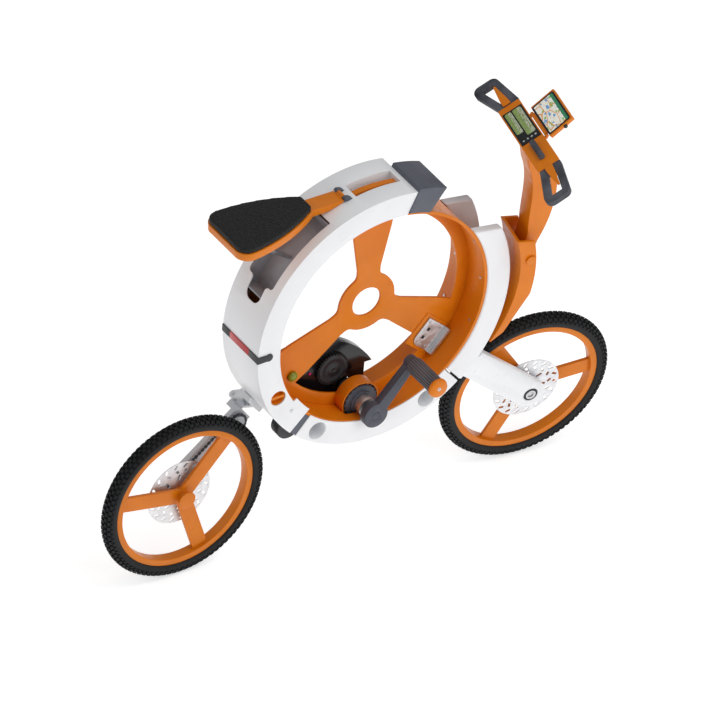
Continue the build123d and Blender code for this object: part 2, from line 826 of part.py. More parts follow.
# ---- steered yoke, column and front arm ---------------------------------------------
yoke_from = 413.0
yoke_to = 422.0
front_knuckle = front_arm_thickness / 2
front_hinge_y = -front_arm_inner - front_knuckle
front_knuckle_half = 30.0
front_lug = 14.0
column_foot = -29.0
column_top = ((426, 148), (476, 138))
with BuildPart() as steering_yoke:
    with BuildSketch(steered(along(front_dir, 34))):
        with Locations(((yoke_from + yoke_to) / 2, 0)):
            Rectangle(yoke_to - yoke_from, 92)
    extrude(amount=34 + 45)
    with BuildSketch(steered(at_y(34))):
        sector(yoke_to - 2, column_inner, front_angle + 4.3, front_angle + 20)
    extrude(amount=34 + 24)
    for low in (front_knuckle_half + gap, -front_knuckle_half - gap - front_lug):
        with BuildSketch(steered(across(front_dir, low))):
            with Locations((front_hinge_reach, front_hinge_y)):
                Circle(front_knuckle)
            with Locations(((yoke_from + front_hinge_reach) / 2 + 1, front_hinge_y)):
                Rectangle(front_hinge_reach - yoke_from, 15)
            with Locations((front_hinge_reach, front_hinge_y)):
                Circle(hinge_pin, mode=Mode.SUBTRACT)
        extrude(amount=front_lug)
    head_foot = steered(Plane(origin=[(345) * c for c in front_dir], z_dir=front_dir))
    with BuildSketch(head_foot):
        Circle(steer_pin)
    extrude(amount=yoke_from - 345)
save(steering_yoke, "steering_yoke")

with BuildPart() as front_hinge_pin:
    with BuildSketch(steered(across(front_dir, -front_knuckle_half - front_lug - 2))):
        with Locations((front_hinge_reach, front_hinge_y)):
            Circle(hinge_pin)
    extrude(amount=2 * (front_knuckle_half + front_lug) + 4)
save(front_hinge_pin, "front_hinge_pin")

with BuildPart() as steering_column:
    # curved back wall and two cheeks that deepen towards the top
    with BuildSketch(steered(at_y(column_half))):
        sector(column_inner, column_inner + column_depth, column_foot, 26)
        low_cut = polar(column_inner + 3, column_foot)
        mid_cut = polar(column_inner + column_depth, -7)
        Polygon(low_cut, polar(column_inner + 22, -24), mid_cut, polar(column_inner + 130, -10),
                polar(column_inner + 130, -36), align=None, mode=Mode.SUBTRACT)
        (rear_x, rear_z), (tip_x, tip_z) = column_top
        Polygon((rear_x - 60, rear_z + 12), (tip_x + 60, tip_z - 12), (tip_x + 60, 300),
                (rear_x - 60, 300), align=None, mode=Mode.SUBTRACT)
    extrude(amount=2 * column_half)
    with BuildSketch(steered(at_y(column_half - column_wall))):
        sector(column_inner + column_wall, column_inner + column_depth + 5, column_foot - 2, 30)
    extrude(amount=2 * (column_half - column_wall), mode=Mode.SUBTRACT)
    stem_pivot = polar(468, 9)
    with BuildSketch(steered(at_y(column_half))):
        with Locations(stem_pivot):
            Circle(stem_pin)
    extrude(amount=2 * column_half, mode=Mode.SUBTRACT)
save(steering_column, "steering_column")

with BuildPart() as stem_pivot_pin:
    with BuildSketch(steered(at_y(column_half + 2))):
        with Locations(stem_pivot):
            Circle(stem_pin)
    extrude(amount=2 * column_half + 4)
    for high in (column_half + 5, -column_half):
        with BuildSketch(steered(at_y(high))):
            with Locations(stem_pivot):
                Circle(stem_pin + 6)
        extrude(amount=5)
save(stem_pivot_pin, "stem_pivot_pin")

front_root = front_hinge_reach + 16
with BuildPart() as front_arm:
    with BuildSketch(steered(along(front_dir, -front_arm_inner))):
        with Locations(((front_root + wheel_reach) / 2, 0)):
            Rectangle(wheel_reach - front_root, front_arm_width)
        with Locations((wheel_reach, 0)):
            Circle(front_arm_width / 2)
        with Locations(((front_hinge_reach + front_root) / 2, 0)):
            Rectangle(front_root - front_hinge_reach, 2 * front_knuckle_half)
        with Locations((wheel_reach, 0)):
            Circle(axle_radius, mode=Mode.SUBTRACT)
    extrude(amount=front_arm_thickness)
    with BuildSketch(steered(across(front_dir, -front_knuckle_half))):
        with Locations((front_hinge_reach, front_hinge_y)):
            Circle(front_knuckle)
    extrude(amount=2 * front_knuckle_half)
    with BuildSketch(steered(across(front_dir, -front_knuckle_half - 1))):
        with Locations((front_hinge_reach, front_hinge_y)):
            Circle(hinge_pin + running)
    extrude(amount=2 * front_knuckle_half + 2, mode=Mode.SUBTRACT)
    arm_face = -front_arm_inner - front_arm_thickness
    with BuildSketch(steered(along(front_dir, arm_face + 8))):
        with Locations((wheel_reach, 0)):
            Circle(21)
    extrude(amount=8, mode=Mode.SUBTRACT)
save(front_arm, "front_arm")

with BuildPart() as front_axle_bolt:
    with BuildSketch(steered(along(front_dir, hub_half - 2))):
        with Locations((wheel_reach, 0)):
            Circle(axle_radius)
    extrude(amount=hub_half - 2 - arm_face - 8)
    with BuildSketch(steered(along(front_dir, arm_face + 8))):
        with Locations((wheel_reach, 0)):
            RegularPolygon(13, 6)
    extrude(amount=6)
save(front_axle_bolt, "front_axle_bolt")

# ---- stem, console, handle loops, displays ------------------------------------------
slope = radians(console_slope)
face_dir = (-sin(slope), 0, cos(slope))


def console_plane(height=0.0):
    """Console's top face: local x to the rider's right, local y forwards up the slope."""
    return steered(Plane(origin=(console_x, 0, console_z), x_dir=(0, -1, 0),
                         z_dir=face_dir).offset(height))


map_slope = 42.0
map_width = 82.0
map_length = 120.0
map_centre = -10.0
map_thickness = 12.0
map_pin = 2.5
map_tilt = radians(map_slope)
map_reach = console_width / 2 + 7
map_hinge = (console_x + map_reach * cos(slope), console_z + map_reach * sin(slope))


def map_plane(height=0.0):
    """Map display's face: local x to the rider's right, local y from its hinge outwards."""
    return steered(Plane(origin=(map_hinge[0], map_centre, map_hinge[1]), x_dir=(0, -1, 0),
                         z_dir=(-sin(map_tilt), 0, cos(map_tilt))).offset(height))


def map_axis_plane(x):
    """Plane across the map display's hinge, at x along it."""
    return Plane(map_plane().location * Location((x, 0, 0), (0, 90, 0)))


stem_foot = 20.0
with BuildPart() as stem:
    with BuildSketch(steered(at_y(stem_half))):
        with BuildLine():
            foot_x, foot_z = stem_pivot
            Line((foot_x - stem_foot, foot_z), (foot_x - 8, foot_z + 75))
            Spline((foot_x - 8, foot_z + 75), (448, 245), (434, 360), (421, 395))
            Line((421, 395), (404, 462))
            Line((404, 462), (446, 488))
            Line((446, 488), (486, 430))
            Spline((486, 430), (514, 340), (519, 240), (foot_x + stem_foot + 8, foot_z + 40))
            Line((foot_x + stem_foot + 8, foot_z + 40), (foot_x + stem_foot, foot_z))
            Line((foot_x + stem_foot, foot_z), (foot_x - stem_foot, foot_z))
        make_face()
        with Locations(stem_pivot):
            Circle(stem_foot)
        Polygon((console_x - 200 * cos(slope) + 23 * sin(slope),
                 console_z - 200 * sin(slope) - 23 * cos(slope)),
                (console_x + 200 * cos(slope) + 23 * sin(slope),
                 console_z + 200 * sin(slope) - 23 * cos(slope)),
                (console_x, console_z + 400), align=None, mode=Mode.SUBTRACT)
        with Locations(stem_pivot):
            Circle(stem_pin + running, mode=Mode.SUBTRACT)
    extrude(amount=2 * stem_half)
    # gusset widening to the console
    with BuildSketch(console_plane(-console_thickness)):
        with Locations((0, -2)):
            Rectangle(180, 44)
    with BuildSketch(console_plane(-console_thickness - 75)):
        with Locations((0, 6)):
            Rectangle(2 * stem_half, 48)
    loft()
save(stem, "stem")

with BuildPart() as console:
    with BuildSketch(console_plane(-console_thickness)):
        RectangleRounded(2 * console_half, console_width, 6)
    extrude(amount=console_thickness)
    with BuildSketch(console_plane(-2)):
        with Locations((-42, 0)):
            Rectangle(127, 61)
    extrude(amount=2, mode=Mode.SUBTRACT)
    # hinge pin of the map display, held between two ears on the front edge
    for x in (-69, 21):
        with BuildSketch(console_plane(-8)):
            with Locations((x + 4 - map_centre, console_width / 2 + 2.5)):
                Rectangle(8, 9)
        extrude(amount=8)
        with BuildSketch(map_axis_plane(x)):
            Circle(4.5)
        extrude(amount=8)
    with BuildSketch(map_axis_plane(-68)):
        Circle(map_pin)
    extrude(amount=96)
save(console, "console")

with BuildPart() as centre_display:
    with BuildSketch(console_plane(-2)):
        with Locations((-42, 0)):
            Rectangle(126, 60)
    extrude(amount=3)
save(centre_display, "centre_display")

loop_corners = ((console_half + 0.2, -30), (console_half + 0.2, 35), (235, 12), (236, -70))


def handle_loop(side):
    """Closed rounded grip: side is 1 on the rider's right, -1 on the left."""
    with BuildSketch(console_plane(-console_thickness / 2 - loop_thickness / 2)) as grip:
        points = [(side * x, y) for x, y in loop_corners]
        Polygon(*points, align=None)
        fillet([v for v in grip.vertices() if abs(v.X) > 200], 20)
        fillet([v for v in grip.vertices() if abs(abs(v.X) - console_half - 0.2) < 0.5], 4)
        offset(amount=-loop_bar, mode=Mode.SUBTRACT)
    extrude(grip.sketch, amount=loop_thickness)


def lever_pivot(side):
    with BuildSketch(console_plane(-20)) as hole:
        with Locations((side * (console_half + 10), 0)):
            Circle(3 + running)
    extrude(hole.sketch, amount=30, mode=Mode.SUBTRACT)


def brake_lever(side):
    with BuildSketch(console_plane(0.5)) as blade:
        Polygon((side * (console_half + 2), -14), (side * (console_half + 2), 10),
                (side * (console_half + 22), 8), (side * (console_half + 76), -2),
                (side * (console_half + 76), -8), (side * (console_half + 22), -14), align=None)
    extrude(blade.sketch, amount=5)
    with BuildSketch(console_plane(-15)) as pin:
        with Locations((side * (console_half + 10), 0)):
            Circle(3)
    extrude(pin.sketch, amount=16)


for side, name in ((1, "right"), (-1, "left")):
    with BuildPart() as loop_part:
        handle_loop(side)
        lever_pivot(side)
    save(loop_part, f"{name}_handle")
    with BuildPart() as lever:
        brake_lever(side)
    save(lever, f"{name}_lever")

with BuildPart() as shift_grip:
    with BuildSketch(Plane(console_plane().location * Location((32, -2, 9), (0, 90, 0)))):
        Circle(8.5)
        with PolarLocations(8.5, 10):
            Circle(1.2, mode=Mode.SUBTRACT)
    extrude(amount=64)
save(shift_grip, "shift_grip")

with BuildPart() as map_display:
    with BuildSketch(map_plane(-map_thickness / 2)):
        with Locations((-20, 6 + map_width / 2)):
            RectangleRounded(map_length, map_width - 2, 3)
    extrude(amount=map_thickness)
    with BuildSketch(map_axis_plane(-60)):
        Circle(5)
        Circle(map_pin + running, mode=Mode.SUBTRACT)
    extrude(amount=80)
    with BuildSketch(map_plane(-4)):
        with Locations((-20, 6)):
            Rectangle(80, 5)
    extrude(amount=8)
save(map_display, "map_display")

# ---- saddle -------------------------------------------------------------------------
tilt = radians(seat_slope)
seat_x = -355.0
seat_z = 396.5
hinge_x = -113.0
hinge_z = 393.0
seat_nose = 130.0
seat_rear = -132.0
seat_pin = 3.5
seat_knuckle = 6.0
strut_x = -430.0
strut_z = 347.0
strut_foot = (-269.0, 240.0)
strut_half = 7.0


def seat_plane(height=0.0):
    return Plane(origin=(seat_x, 0, seat_z), x_dir=(cos(tilt), 0, sin(tilt)),
                 z_dir=(-sin(tilt), 0, cos(tilt))).offset(height)


def seat_outline(grow):
    with BuildSketch() as outline:
        with BuildLine():
            Line((seat_nose, -26), (seat_nose, 26))
            ThreePointArc((seat_nose, 26), (30, 0.75 * seat_half), (-95, seat_half))
            ThreePointArc((-95, seat_half), (-125, seat_half - 14), (seat_rear, 58))
            Line((seat_rear, 58), (seat_rear, -58))
            ThreePointArc((seat_rear, -58), (-125, 14 - seat_half), (-95, -seat_half))
            ThreePointArc((-95, -seat_half), (30, -0.75 * seat_half), (seat_nose, -26))
        make_face()
        if grow:
            offset(amount=grow, kind=Kind.INTERSECTION)
    add(outline.sketch_local)


with BuildPart() as seat_pad:
    with BuildSketch(seat_plane(-seat_pad_thickness)):
        seat_outline(0)
    extrude(amount=seat_pad_thickness)
save(seat_pad, "seat_pad")

base_low = -seat_pad_thickness - seat_base_thickness
nose_top = seat_plane().from_local_coords((seat_nose, 0, -seat_pad_thickness))
nose_foot = seat_plane().from_local_coords((seat_nose, 0, base_low))
neck_half = 25.0
neck_foot = -165.0
hinge_half = 13.0
with BuildPart() as seat_base:
    with BuildSketch(seat_plane(base_low)):
        seat_outline(3)
    extrude(amount=seat_base_thickness)
    # neck from the nose down to the hinge on the ring's skin
    with BuildSketch(at_y(neck_half)):
        Polygon((nose_top.X, nose_top.Z), (hinge_x - 8, hinge_z - 1), (hinge_x - 8, hinge_z - 7),
                (neck_foot, 371.5), (nose_foot.X, nose_foot.Z), align=None)
    extrude(amount=2 * neck_half)
    with BuildSketch(at_y(hinge_half)):
        with Locations((hinge_x, hinge_z)):
            Circle(seat_knuckle)
        with Locations((hinge_x - 5, hinge_z - 2)):
            Rectangle(10, 6)
    extrude(amount=2 * hinge_half)
    with BuildSketch(at_y(hinge_half + 1)):
        with Locations((hinge_x, hinge_z)):
            Circle(seat_pin + running)
    extrude(amount=2 * hinge_half + 2, mode=Mode.SUBTRACT)
    # ears and pin of the strut
    for edge in (14, -8):
        with BuildSketch(at_y(edge)):
            with Locations((strut_x, strut_z)):
                Circle(7)
            with Locations((strut_x, strut_z + 7)):
                Rectangle(14, 14)
        extrude(amount=6)
    with BuildSketch(at_y(14)):
        with Locations((strut_x, strut_z)):
            Circle(3)
    extrude(amount=28)
save(seat_base, "seat_base")

with BuildPart() as seat_hinge:
    for edge in (28, -13.5):
        with BuildSketch(at_y(edge)):
            with Locations((hinge_x, hinge_z)):
                Circle(seat_knuckle)
            Polygon((hinge_x, hinge_z + 6), (hinge_x + 11, hinge_z + 4), (hinge_x + 20, 391),
                    (hinge_x + 6, 387), (hinge_x, hinge_z - 6), align=None)
            Circle(shell_outer + 0.1, mode=Mode.SUBTRACT)
        extrude(amount=14.5)
    with BuildSketch(at_y(28)):
        with Locations((hinge_x, hinge_z)):
            Circle(seat_pin)
    extrude(amount=56)
save(seat_hinge, "seat_hinge")

with BuildPart() as seat_strut:
    dx, dz = strut_foot[0] - strut_x, strut_foot[1] - strut_z
    reach = hypot(dx, dz)
    with BuildSketch(Plane(origin=(strut_x, strut_half, strut_z), x_dir=(dx, 0, dz),
                           z_dir=(0, -1, 0))):
        with Locations((reach / 2, 0)):
            SlotOverall(reach + 10, 10)
        Circle(7)
        Circle(3 + running, mode=Mode.SUBTRACT)
    extrude(amount=2 * strut_half)
save(seat_strut, "seat_strut")

# ---- trolley roller -----------------------------------------------------------------
roller_at = polar(roller_reach, roller_angle)
with BuildPart() as trolley_roller:
    with BuildSketch(at_y(-26)):
        with Locations(roller_at):
            Circle(roller_radius)
            Circle(roller_pin + running, mode=Mode.SUBTRACT)
    extrude(amount=36)
save(trolley_roller, "trolley_roller")

# ---- screws that hold the drum, plates and bracket ----------------------------------
screw_radius = 3.5
screw_height = 2.0
with BuildPart() as panel_screws:
    for y in (-66, 60):
        for angle in (-22, 2, 26, 50, 110, 150, 190):
            outward = (cos(radians(angle)), 0, sin(radians(angle)))
            seat = Plane(origin=(drum_inner * outward[0] * 0.9997, y,
                                 drum_inner * outward[2] * 0.9997),
                         z_dir=(-outward[0], 0, -outward[2]))
            with BuildSketch(seat):
                Circle(screw_radius)
            extrude(amount=screw_height)
    with BuildSketch(along(front_dir, -plate_thickness / 2 - 8)):
        with Locations((250, 33), (292, 33), (292, -33), (270, -34)):
            Circle(screw_radius)
    extrude(amount=screw_height)
    with BuildSketch(at_y(-shell_half)):
        with Locations(polar(352, 218)):
            Circle(5)
    extrude(amount=screw_height)
save(panel_screws, "panel_screws")
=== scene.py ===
import json
from math import cos, pi, radians, sin

import bmesh
import bpy
from mathutils import Matrix, Vector

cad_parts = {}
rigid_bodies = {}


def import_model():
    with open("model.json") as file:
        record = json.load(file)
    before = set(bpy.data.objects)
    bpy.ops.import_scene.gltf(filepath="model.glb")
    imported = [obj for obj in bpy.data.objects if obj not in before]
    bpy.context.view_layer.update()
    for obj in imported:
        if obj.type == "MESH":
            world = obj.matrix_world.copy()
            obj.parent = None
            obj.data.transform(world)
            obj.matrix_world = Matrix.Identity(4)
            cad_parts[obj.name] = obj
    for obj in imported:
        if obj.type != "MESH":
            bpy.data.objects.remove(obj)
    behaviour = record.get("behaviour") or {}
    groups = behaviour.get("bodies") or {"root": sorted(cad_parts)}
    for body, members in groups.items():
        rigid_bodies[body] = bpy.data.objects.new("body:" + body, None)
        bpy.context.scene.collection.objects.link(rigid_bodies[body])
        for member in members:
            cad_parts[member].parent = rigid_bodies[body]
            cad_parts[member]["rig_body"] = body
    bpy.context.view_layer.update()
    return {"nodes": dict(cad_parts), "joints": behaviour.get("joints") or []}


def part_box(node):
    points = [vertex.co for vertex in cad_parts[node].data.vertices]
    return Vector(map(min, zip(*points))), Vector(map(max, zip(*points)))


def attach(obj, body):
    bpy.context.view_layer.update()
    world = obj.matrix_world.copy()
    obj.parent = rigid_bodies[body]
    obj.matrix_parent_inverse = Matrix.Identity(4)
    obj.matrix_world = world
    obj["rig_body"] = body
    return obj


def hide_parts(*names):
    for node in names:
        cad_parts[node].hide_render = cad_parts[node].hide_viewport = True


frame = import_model()
joints = {joint["name"]: joint for joint in frame["joints"]}

# ---- camera ----
# A long lens that looks at the bicycle's right side from the front and above, with a small roll. It stands far
# enough off that parallel edges stay parallel.
camera_right = Vector((0.8379, -0.541, 0.0713)).normalized()
camera_up = Vector((0.2737, 0.5296, 0.8026)).normalized()
camera_back = camera_right.cross(camera_up).normalized()
camera_up = camera_back.cross(camera_right)
view_width = 1.922
lens = bpy.data.cameras.new("camera")
lens.lens = 800
lens.sensor_width = 36
lens.clip_end = 200
looks_at = Vector((-0.020, 0, -0.175))
camera_distance = view_width * lens.lens / lens.sensor_width
camera = bpy.data.objects.new("camera", lens)
camera.matrix_world = Matrix.Translation(looks_at + camera_back * camera_distance) @ \
    Matrix((camera_right, camera_up, camera_back)).transposed().to_4x4()
bpy.context.scene.collection.objects.link(camera)
bpy.context.scene.camera = camera
bpy.context.scene.view_settings.view_transform = "Standard"


# ---- floor and studio light ----
# A white paper floor in a white room, lit by a soft box overhead, one at the right and a faint one behind. The
# paper glows a little, so that it stays white round the shadows.
def add_node(tree, kind, inputs=(), **settings):
    """Adds one node, sets its properties, and fills its sockets with values or with other nodes' outputs."""
    made = tree.nodes.new(kind)
    for key, value in settings.items():
        setattr(made, key, value)
    for socket, value in dict(inputs).items():
        if isinstance(value, bpy.types.NodeSocket):
            tree.links.new(value, made.inputs[socket])
        else:
            made.inputs[socket].default_value = value
    return made


def linear(code):
    """An sRGB hex colour as linear red, green, blue and alpha."""
    parts = [int(code[i:i + 2], 16) / 255 for i in (1, 3, 5)]
    return tuple(c / 12.92 if c <= 0.04045 else ((c + 0.055) / 1.055) ** 2.4 for c in parts) + (1.0,)


def blank_material(name):
    """A material with its output and shader alone, the tree, the shader and a position in metres."""
    material = bpy.data.materials.new(name)
    material.use_nodes = True
    tree = material.node_tree
    tree.nodes.clear()
    shader = add_node(tree, "ShaderNodeBsdfPrincipled")
    add_node(tree, "ShaderNodeOutputMaterial", {"Surface": shader.outputs[0]})
    place = add_node(tree, "ShaderNodeTexCoord").outputs["Object"]
    return material, tree, shader, place


floor_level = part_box("rear_tyre")[0].z
# Matt paper: a white that varies a little over a third of a metre.
paper, tree, shader, place = blank_material("white_paper_sweep")
grain = add_node(tree, "ShaderNodeTexNoise", {"Vector": place, "Scale": 3.0, "Detail": 2.0})
shade = add_node(tree, "ShaderNodeValToRGB", {"Fac": grain.outputs[0]})
shade.color_ramp.elements[0].color = linear("#f6f6f7")
shade.color_ramp.elements[1].color = linear("#ffffff")
tree.links.new(shade.outputs[0], shader.inputs["Base Color"])
shader.inputs["Roughness"].default_value = 0.9
shader.inputs["Specular IOR Level"].default_value = 0.1
shader.inputs["Emission Color"].default_value = linear("#ffffff")
shader.inputs["Emission Strength"].default_value = 0.56
sheet = bpy.data.meshes.new("floor")
reach = 14.0
sheet.from_pydata([(-reach, -reach, floor_level), (reach, -reach, floor_level),
                   (reach, reach, floor_level), (-reach, reach, floor_level)], [], [(0, 1, 2, 3)])
sheet.materials.append(paper)
floor = bpy.data.objects.new("floor", sheet)
bpy.context.scene.collection.objects.link(floor)

room = bpy.data.worlds.new("room")
room.use_nodes = True
room.node_tree.nodes["Background"].inputs[0].default_value = linear("#ffffff")
room.node_tree.nodes["Background"].inputs[1].default_value = 0.40
bpy.context.scene.world = room


def soft_box(name, spot, size, watts):
    """A square soft box at spot, turned to the middle of the bicycle."""
    light = bpy.data.lights.new(name, "AREA")
    light.size = size
    light.energy = watts
    lamp = bpy.data.objects.new(name, light)
    facing = Vector(spot).to_track_quat("Z", "Y").to_matrix().to_4x4()
    lamp.matrix_world = Matrix.Translation(Vector(spot)) @ facing
    bpy.context.scene.collection.objects.link(lamp)


soft_box("overhead_box", (0.6, -1.2, 3.4), 2.2, 32)
soft_box("right_box", (1.4, -3.8, 1.4), 1.8, 34)
soft_box("rear_box", (-3.0, 2.2, 1.6), 2.0, 8)


# ---- drum, hub plate and carry handle ----
# The ring's load-bearing parts: a rolled drum, a pressed three-armed plate with the hub's hole, a side cap, the
# arch over the crank and the carry handle. All are aluminium sheet, stove enamelled, with their edges broken.
def enamel(name, colour, shade_colour, roughness=0.36, coat=0.05):
    """Stove enamel on metal: even colour, a faint orange-peel skin and small scuffs in the gloss."""
    material, tree, shader, place = blank_material(name)
    cloud = add_node(tree, "ShaderNodeTexNoise", {"Vector": place, "Scale": 9.0, "Detail": 4.0})
    ramp = add_node(tree, "ShaderNodeValToRGB", {"Fac": cloud.outputs[0]})
    ramp.color_ramp.elements[0].position = 0.3
    ramp.color_ramp.elements[0].color = linear(shade_colour)
    ramp.color_ramp.elements[1].position = 0.62
    ramp.color_ramp.elements[1].color = linear(colour)
    tree.links.new(ramp.outputs[0], shader.inputs["Base Color"])
    scuff = add_node(tree, "ShaderNodeTexNoise", {"Vector": place, "Scale": 55.0, "Detail": 6.0,
                                                  "Roughness": 0.7})
    gloss = add_node(tree, "ShaderNodeMapRange", {"Value": scuff.outputs[0], "From Min": 0.35, "From Max": 0.75,
                                                  "To Min": roughness - 0.05, "To Max": roughness + 0.16})
    tree.links.new(gloss.outputs[0], shader.inputs["Roughness"])
    peel = add_node(tree, "ShaderNodeTexNoise", {"Vector": place, "Scale": 650.0, "Detail": 1.0})
    bump = add_node(tree, "ShaderNodeBump", {"Height": peel.outputs[0], "Strength": 0.06, "Distance": 0.0004})
    tree.links.new(bump.outputs[0], shader.inputs["Normal"])
    shader.inputs["Specular IOR Level"].default_value = 0.26
    shader.inputs["Coat Weight"].default_value = coat
    shader.inputs["Coat Roughness"].default_value = 0.14
    return material


def bake(piece):
    """Turns the piece's modifiers into its mesh."""
    bpy.context.view_layer.update()
    seen = piece.evaluated_get(bpy.context.evaluated_depsgraph_get())
    mesh = bpy.data.meshes.new_from_object(seen)
    piece.modifiers.clear()
    piece.data = mesh
    return piece


def rounded(node_name, material, radius_mm):
    """The CAD node with every edge sharper than 38 degrees rounded over, in its finish."""
    source = frame["nodes"][node_name]
    body = bmesh.new()
    body.from_mesh(source.data)
    bmesh.ops.remove_doubles(body, verts=body.verts, dist=2e-6)
    bmesh.ops.dissolve_limit(body, angle_limit=radians(0.5), verts=body.verts, edges=body.edges)
    mesh = bpy.data.meshes.new(node_name + "_finish")
    body.to_mesh(mesh)
    body.free()
    mesh.materials.clear()
    mesh.materials.append(material)
    for face in mesh.polygons:
        face.use_smooth = True
        face.material_index = 0
    piece = bpy.data.objects.new(node_name + "_finish", mesh)
    bpy.context.scene.collection.objects.link(piece)
    bevel = piece.modifiers.new("edges", "BEVEL")
    bevel.width = radius_mm / 1000
    bevel.segments = 3
    bevel.limit_method = "ANGLE"
    bevel.angle_limit = radians(38)
    bevel.harden_normals = True
    bevel.use_clamp_overlap = True
    bake(piece)
    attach(piece, source["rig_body"])
    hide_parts(node_name)


# Stove enamel over aluminium: deep orange, half gloss, with a faint orange peel in the highlights.
orange_enamel = enamel("orange_stove_enamel", "#e07c0c", "#d67405")
for name, radius_mm in (("drum", 0.9), ("side_cap", 0.9), ("drive_arch", 0.9), ("carry_handle", 0.9),
                        ("spider_plate", 1.0)):
    rounded(name, orange_enamel, radius_mm)


# ---- shells, tray and cheeks ----
# The ring's outer skin: rear and lower shell, the handle's tray and the two cheeks beside the steering head.
# They are injection moulded and clip on round the drum. The cheeks have the large soft edges.
def moulding(name, colour, shade_colour, roughness, grain_mm, depth, specular=0.5):
    """Moulded plastic or rubber: a fine spark-eroded grain, grain_mm across, over a slightly uneven colour."""
    material, tree, shader, place = blank_material(name)
    cloud = add_node(tree, "ShaderNodeTexNoise", {"Vector": place, "Scale": 14.0, "Detail": 5.0})
    ramp = add_node(tree, "ShaderNodeValToRGB", {"Fac": cloud.outputs[0]})
    ramp.color_ramp.elements[0].position = 0.32
    ramp.color_ramp.elements[0].color = linear(shade_colour)
    ramp.color_ramp.elements[1].position = 0.6
    ramp.color_ramp.elements[1].color = linear(colour)
    tree.links.new(ramp.outputs[0], shader.inputs["Base Color"])
    spark = add_node(tree, "ShaderNodeTexVoronoi", {"Vector": place, "Scale": 1000.0 / grain_mm})
    bump = add_node(tree, "ShaderNodeBump", {"Height": spark.outputs[0], "Strength": depth, "Distance": 0.0005})
    tree.links.new(bump.outputs[0], shader.inputs["Normal"])
    wear = add_node(tree, "ShaderNodeMapRange", {"Value": cloud.outputs[0], "From Min": 0.3, "From Max": 0.7,
                                                 "To Min": roughness - 0.03, "To Max": roughness + 0.04})
    tree.links.new(wear.outputs[0], shader.inputs["Roughness"])
    shader.inputs["Specular IOR Level"].default_value = specular
    return material


# Gloss ABS, almost white: a mirror-like gloss with hardly any grain.
white_gloss = moulding("white_gloss_abs", "#eff0f2", "#edeef1", 0.3, 0.9, 0.02)
# The far cheek is white ABS like the shells, painted grey here for the shade that lies on its inner side.
far_cheek_painted_shade = moulding("far_cheek_abs_painted_shade", "#c9c5c6", "#bdb9ba", 0.3, 1.2, 0.02)
for name in ("rear_shell", "bottom_shell", "handle_tray"):
    rounded(name, white_gloss, 1.1)
rounded("near_cheek", white_gloss, 7.0)
# The far cheek wears the grey of painted shade.
rounded("far_cheek", far_cheek_painted_shade, 7.0)


# ---- slate block, joint strips and saddle hinge ----
# Dark trim that covers the shells' joints and carries the saddle's hinge: moulded glass-filled nylon.
# Nylon straight from the mould: slate grey, half matt, with a fine spark-eroded grain.
slate_plastic = moulding("slate_grey_nylon", "#555864", "#4a4d58", 0.42, 0.8, 0.06)
for name in ("slate_block", "joint_strip", "seat_hinge"):
    rounded(name, slate_plastic, 1.5)


# ---- saddle recess and tail lamp ----
# A smoke-grey liner in the skin below the saddle, and a red lens between two black end caps on the ring's back.
# The liner is vacuum formed, and the lens and its caps are injection moulded and pushed in from outside.
# Polycarbonate sheet: grey and smooth, with a soft gloss.
smoke_plastic = moulding("smoke_grey_polycarbonate", "#9ea1a8", "#8c9098", 0.3, 1.2, 0.04)
# Polished acrylic: deep red with a sharp highlight.
red_lens = moulding("red_acrylic_lens", "#c81218", "#a80b10", 0.12, 3.0, 0.05)
# Nylon with a coarser texture: black, and dull beside the lens.
black_plastic = moulding("black_textured_nylon", "#26272b", "#1e1f22", 0.46, 0.9, 0.1)
rounded("recess_tub", smoke_plastic, 1.2)
rounded("tail_lens", red_lens, 0.8)
rounded("tail_caps", black_plastic, 1.0)


# ---- drive, cranks and trolley roller ----
# The motor on its neck, the battery housing, the crank's spindle in its sleeve, the chainring, the two forged
# cranks, and the small roller that the folded bicycle is wheeled on.
def metal(name, colour, shade_colour, roughness, brush):
    """Turned or brushed metal: fine streaks, brush giving how much longer they are along X, Y and Z."""
    material, tree, shader, place = blank_material(name)
    stretch = add_node(tree, "ShaderNodeMapping", {"Vector": place, "Scale": brush})
    streak = add_node(tree, "ShaderNodeTexNoise", {"Vector": stretch.outputs[0], "Scale": 60.0, "Detail": 6.0})
    ramp = add_node(tree, "ShaderNodeValToRGB", {"Fac": streak.outputs[0]})
    ramp.color_ramp.elements[0].position = 0.3
    ramp.color_ramp.elements[0].color = linear(shade_colour)
    ramp.color_ramp.elements[1].position = 0.7
    ramp.color_ramp.elements[1].color = linear(colour)
    tree.links.new(ramp.outputs[0], shader.inputs["Base Color"])
    gloss = add_node(tree, "ShaderNodeMapRange", {"Value": streak.outputs[0], "To Min": roughness - 0.08,
                                                  "To Max": roughness + 0.12})
    tree.links.new(gloss.outputs[0], shader.inputs["Roughness"])
    bump = add_node(tree, "ShaderNodeBump", {"Height": streak.outputs[0], "Strength": 0.08, "Distance": 0.0003})
    tree.links.new(bump.outputs[0], shader.inputs["Normal"])
    shader.inputs["Metallic"].default_value = 1.0
    return material


# Stainless steel with a satin brushing: pale, with fine streaks and a wide highlight.
satin_steel = metal("satin_stainless_steel", "#dcdee1", "#bfc1c5", 0.42, (1.0, 8.0, 1.0))
# Anodised aluminium: dark slate, smooth, with a soft sheen.
slate_alloy = enamel("slate_anodised_alloy", "#4b4e59", "#41434d", 0.36, 0.15)
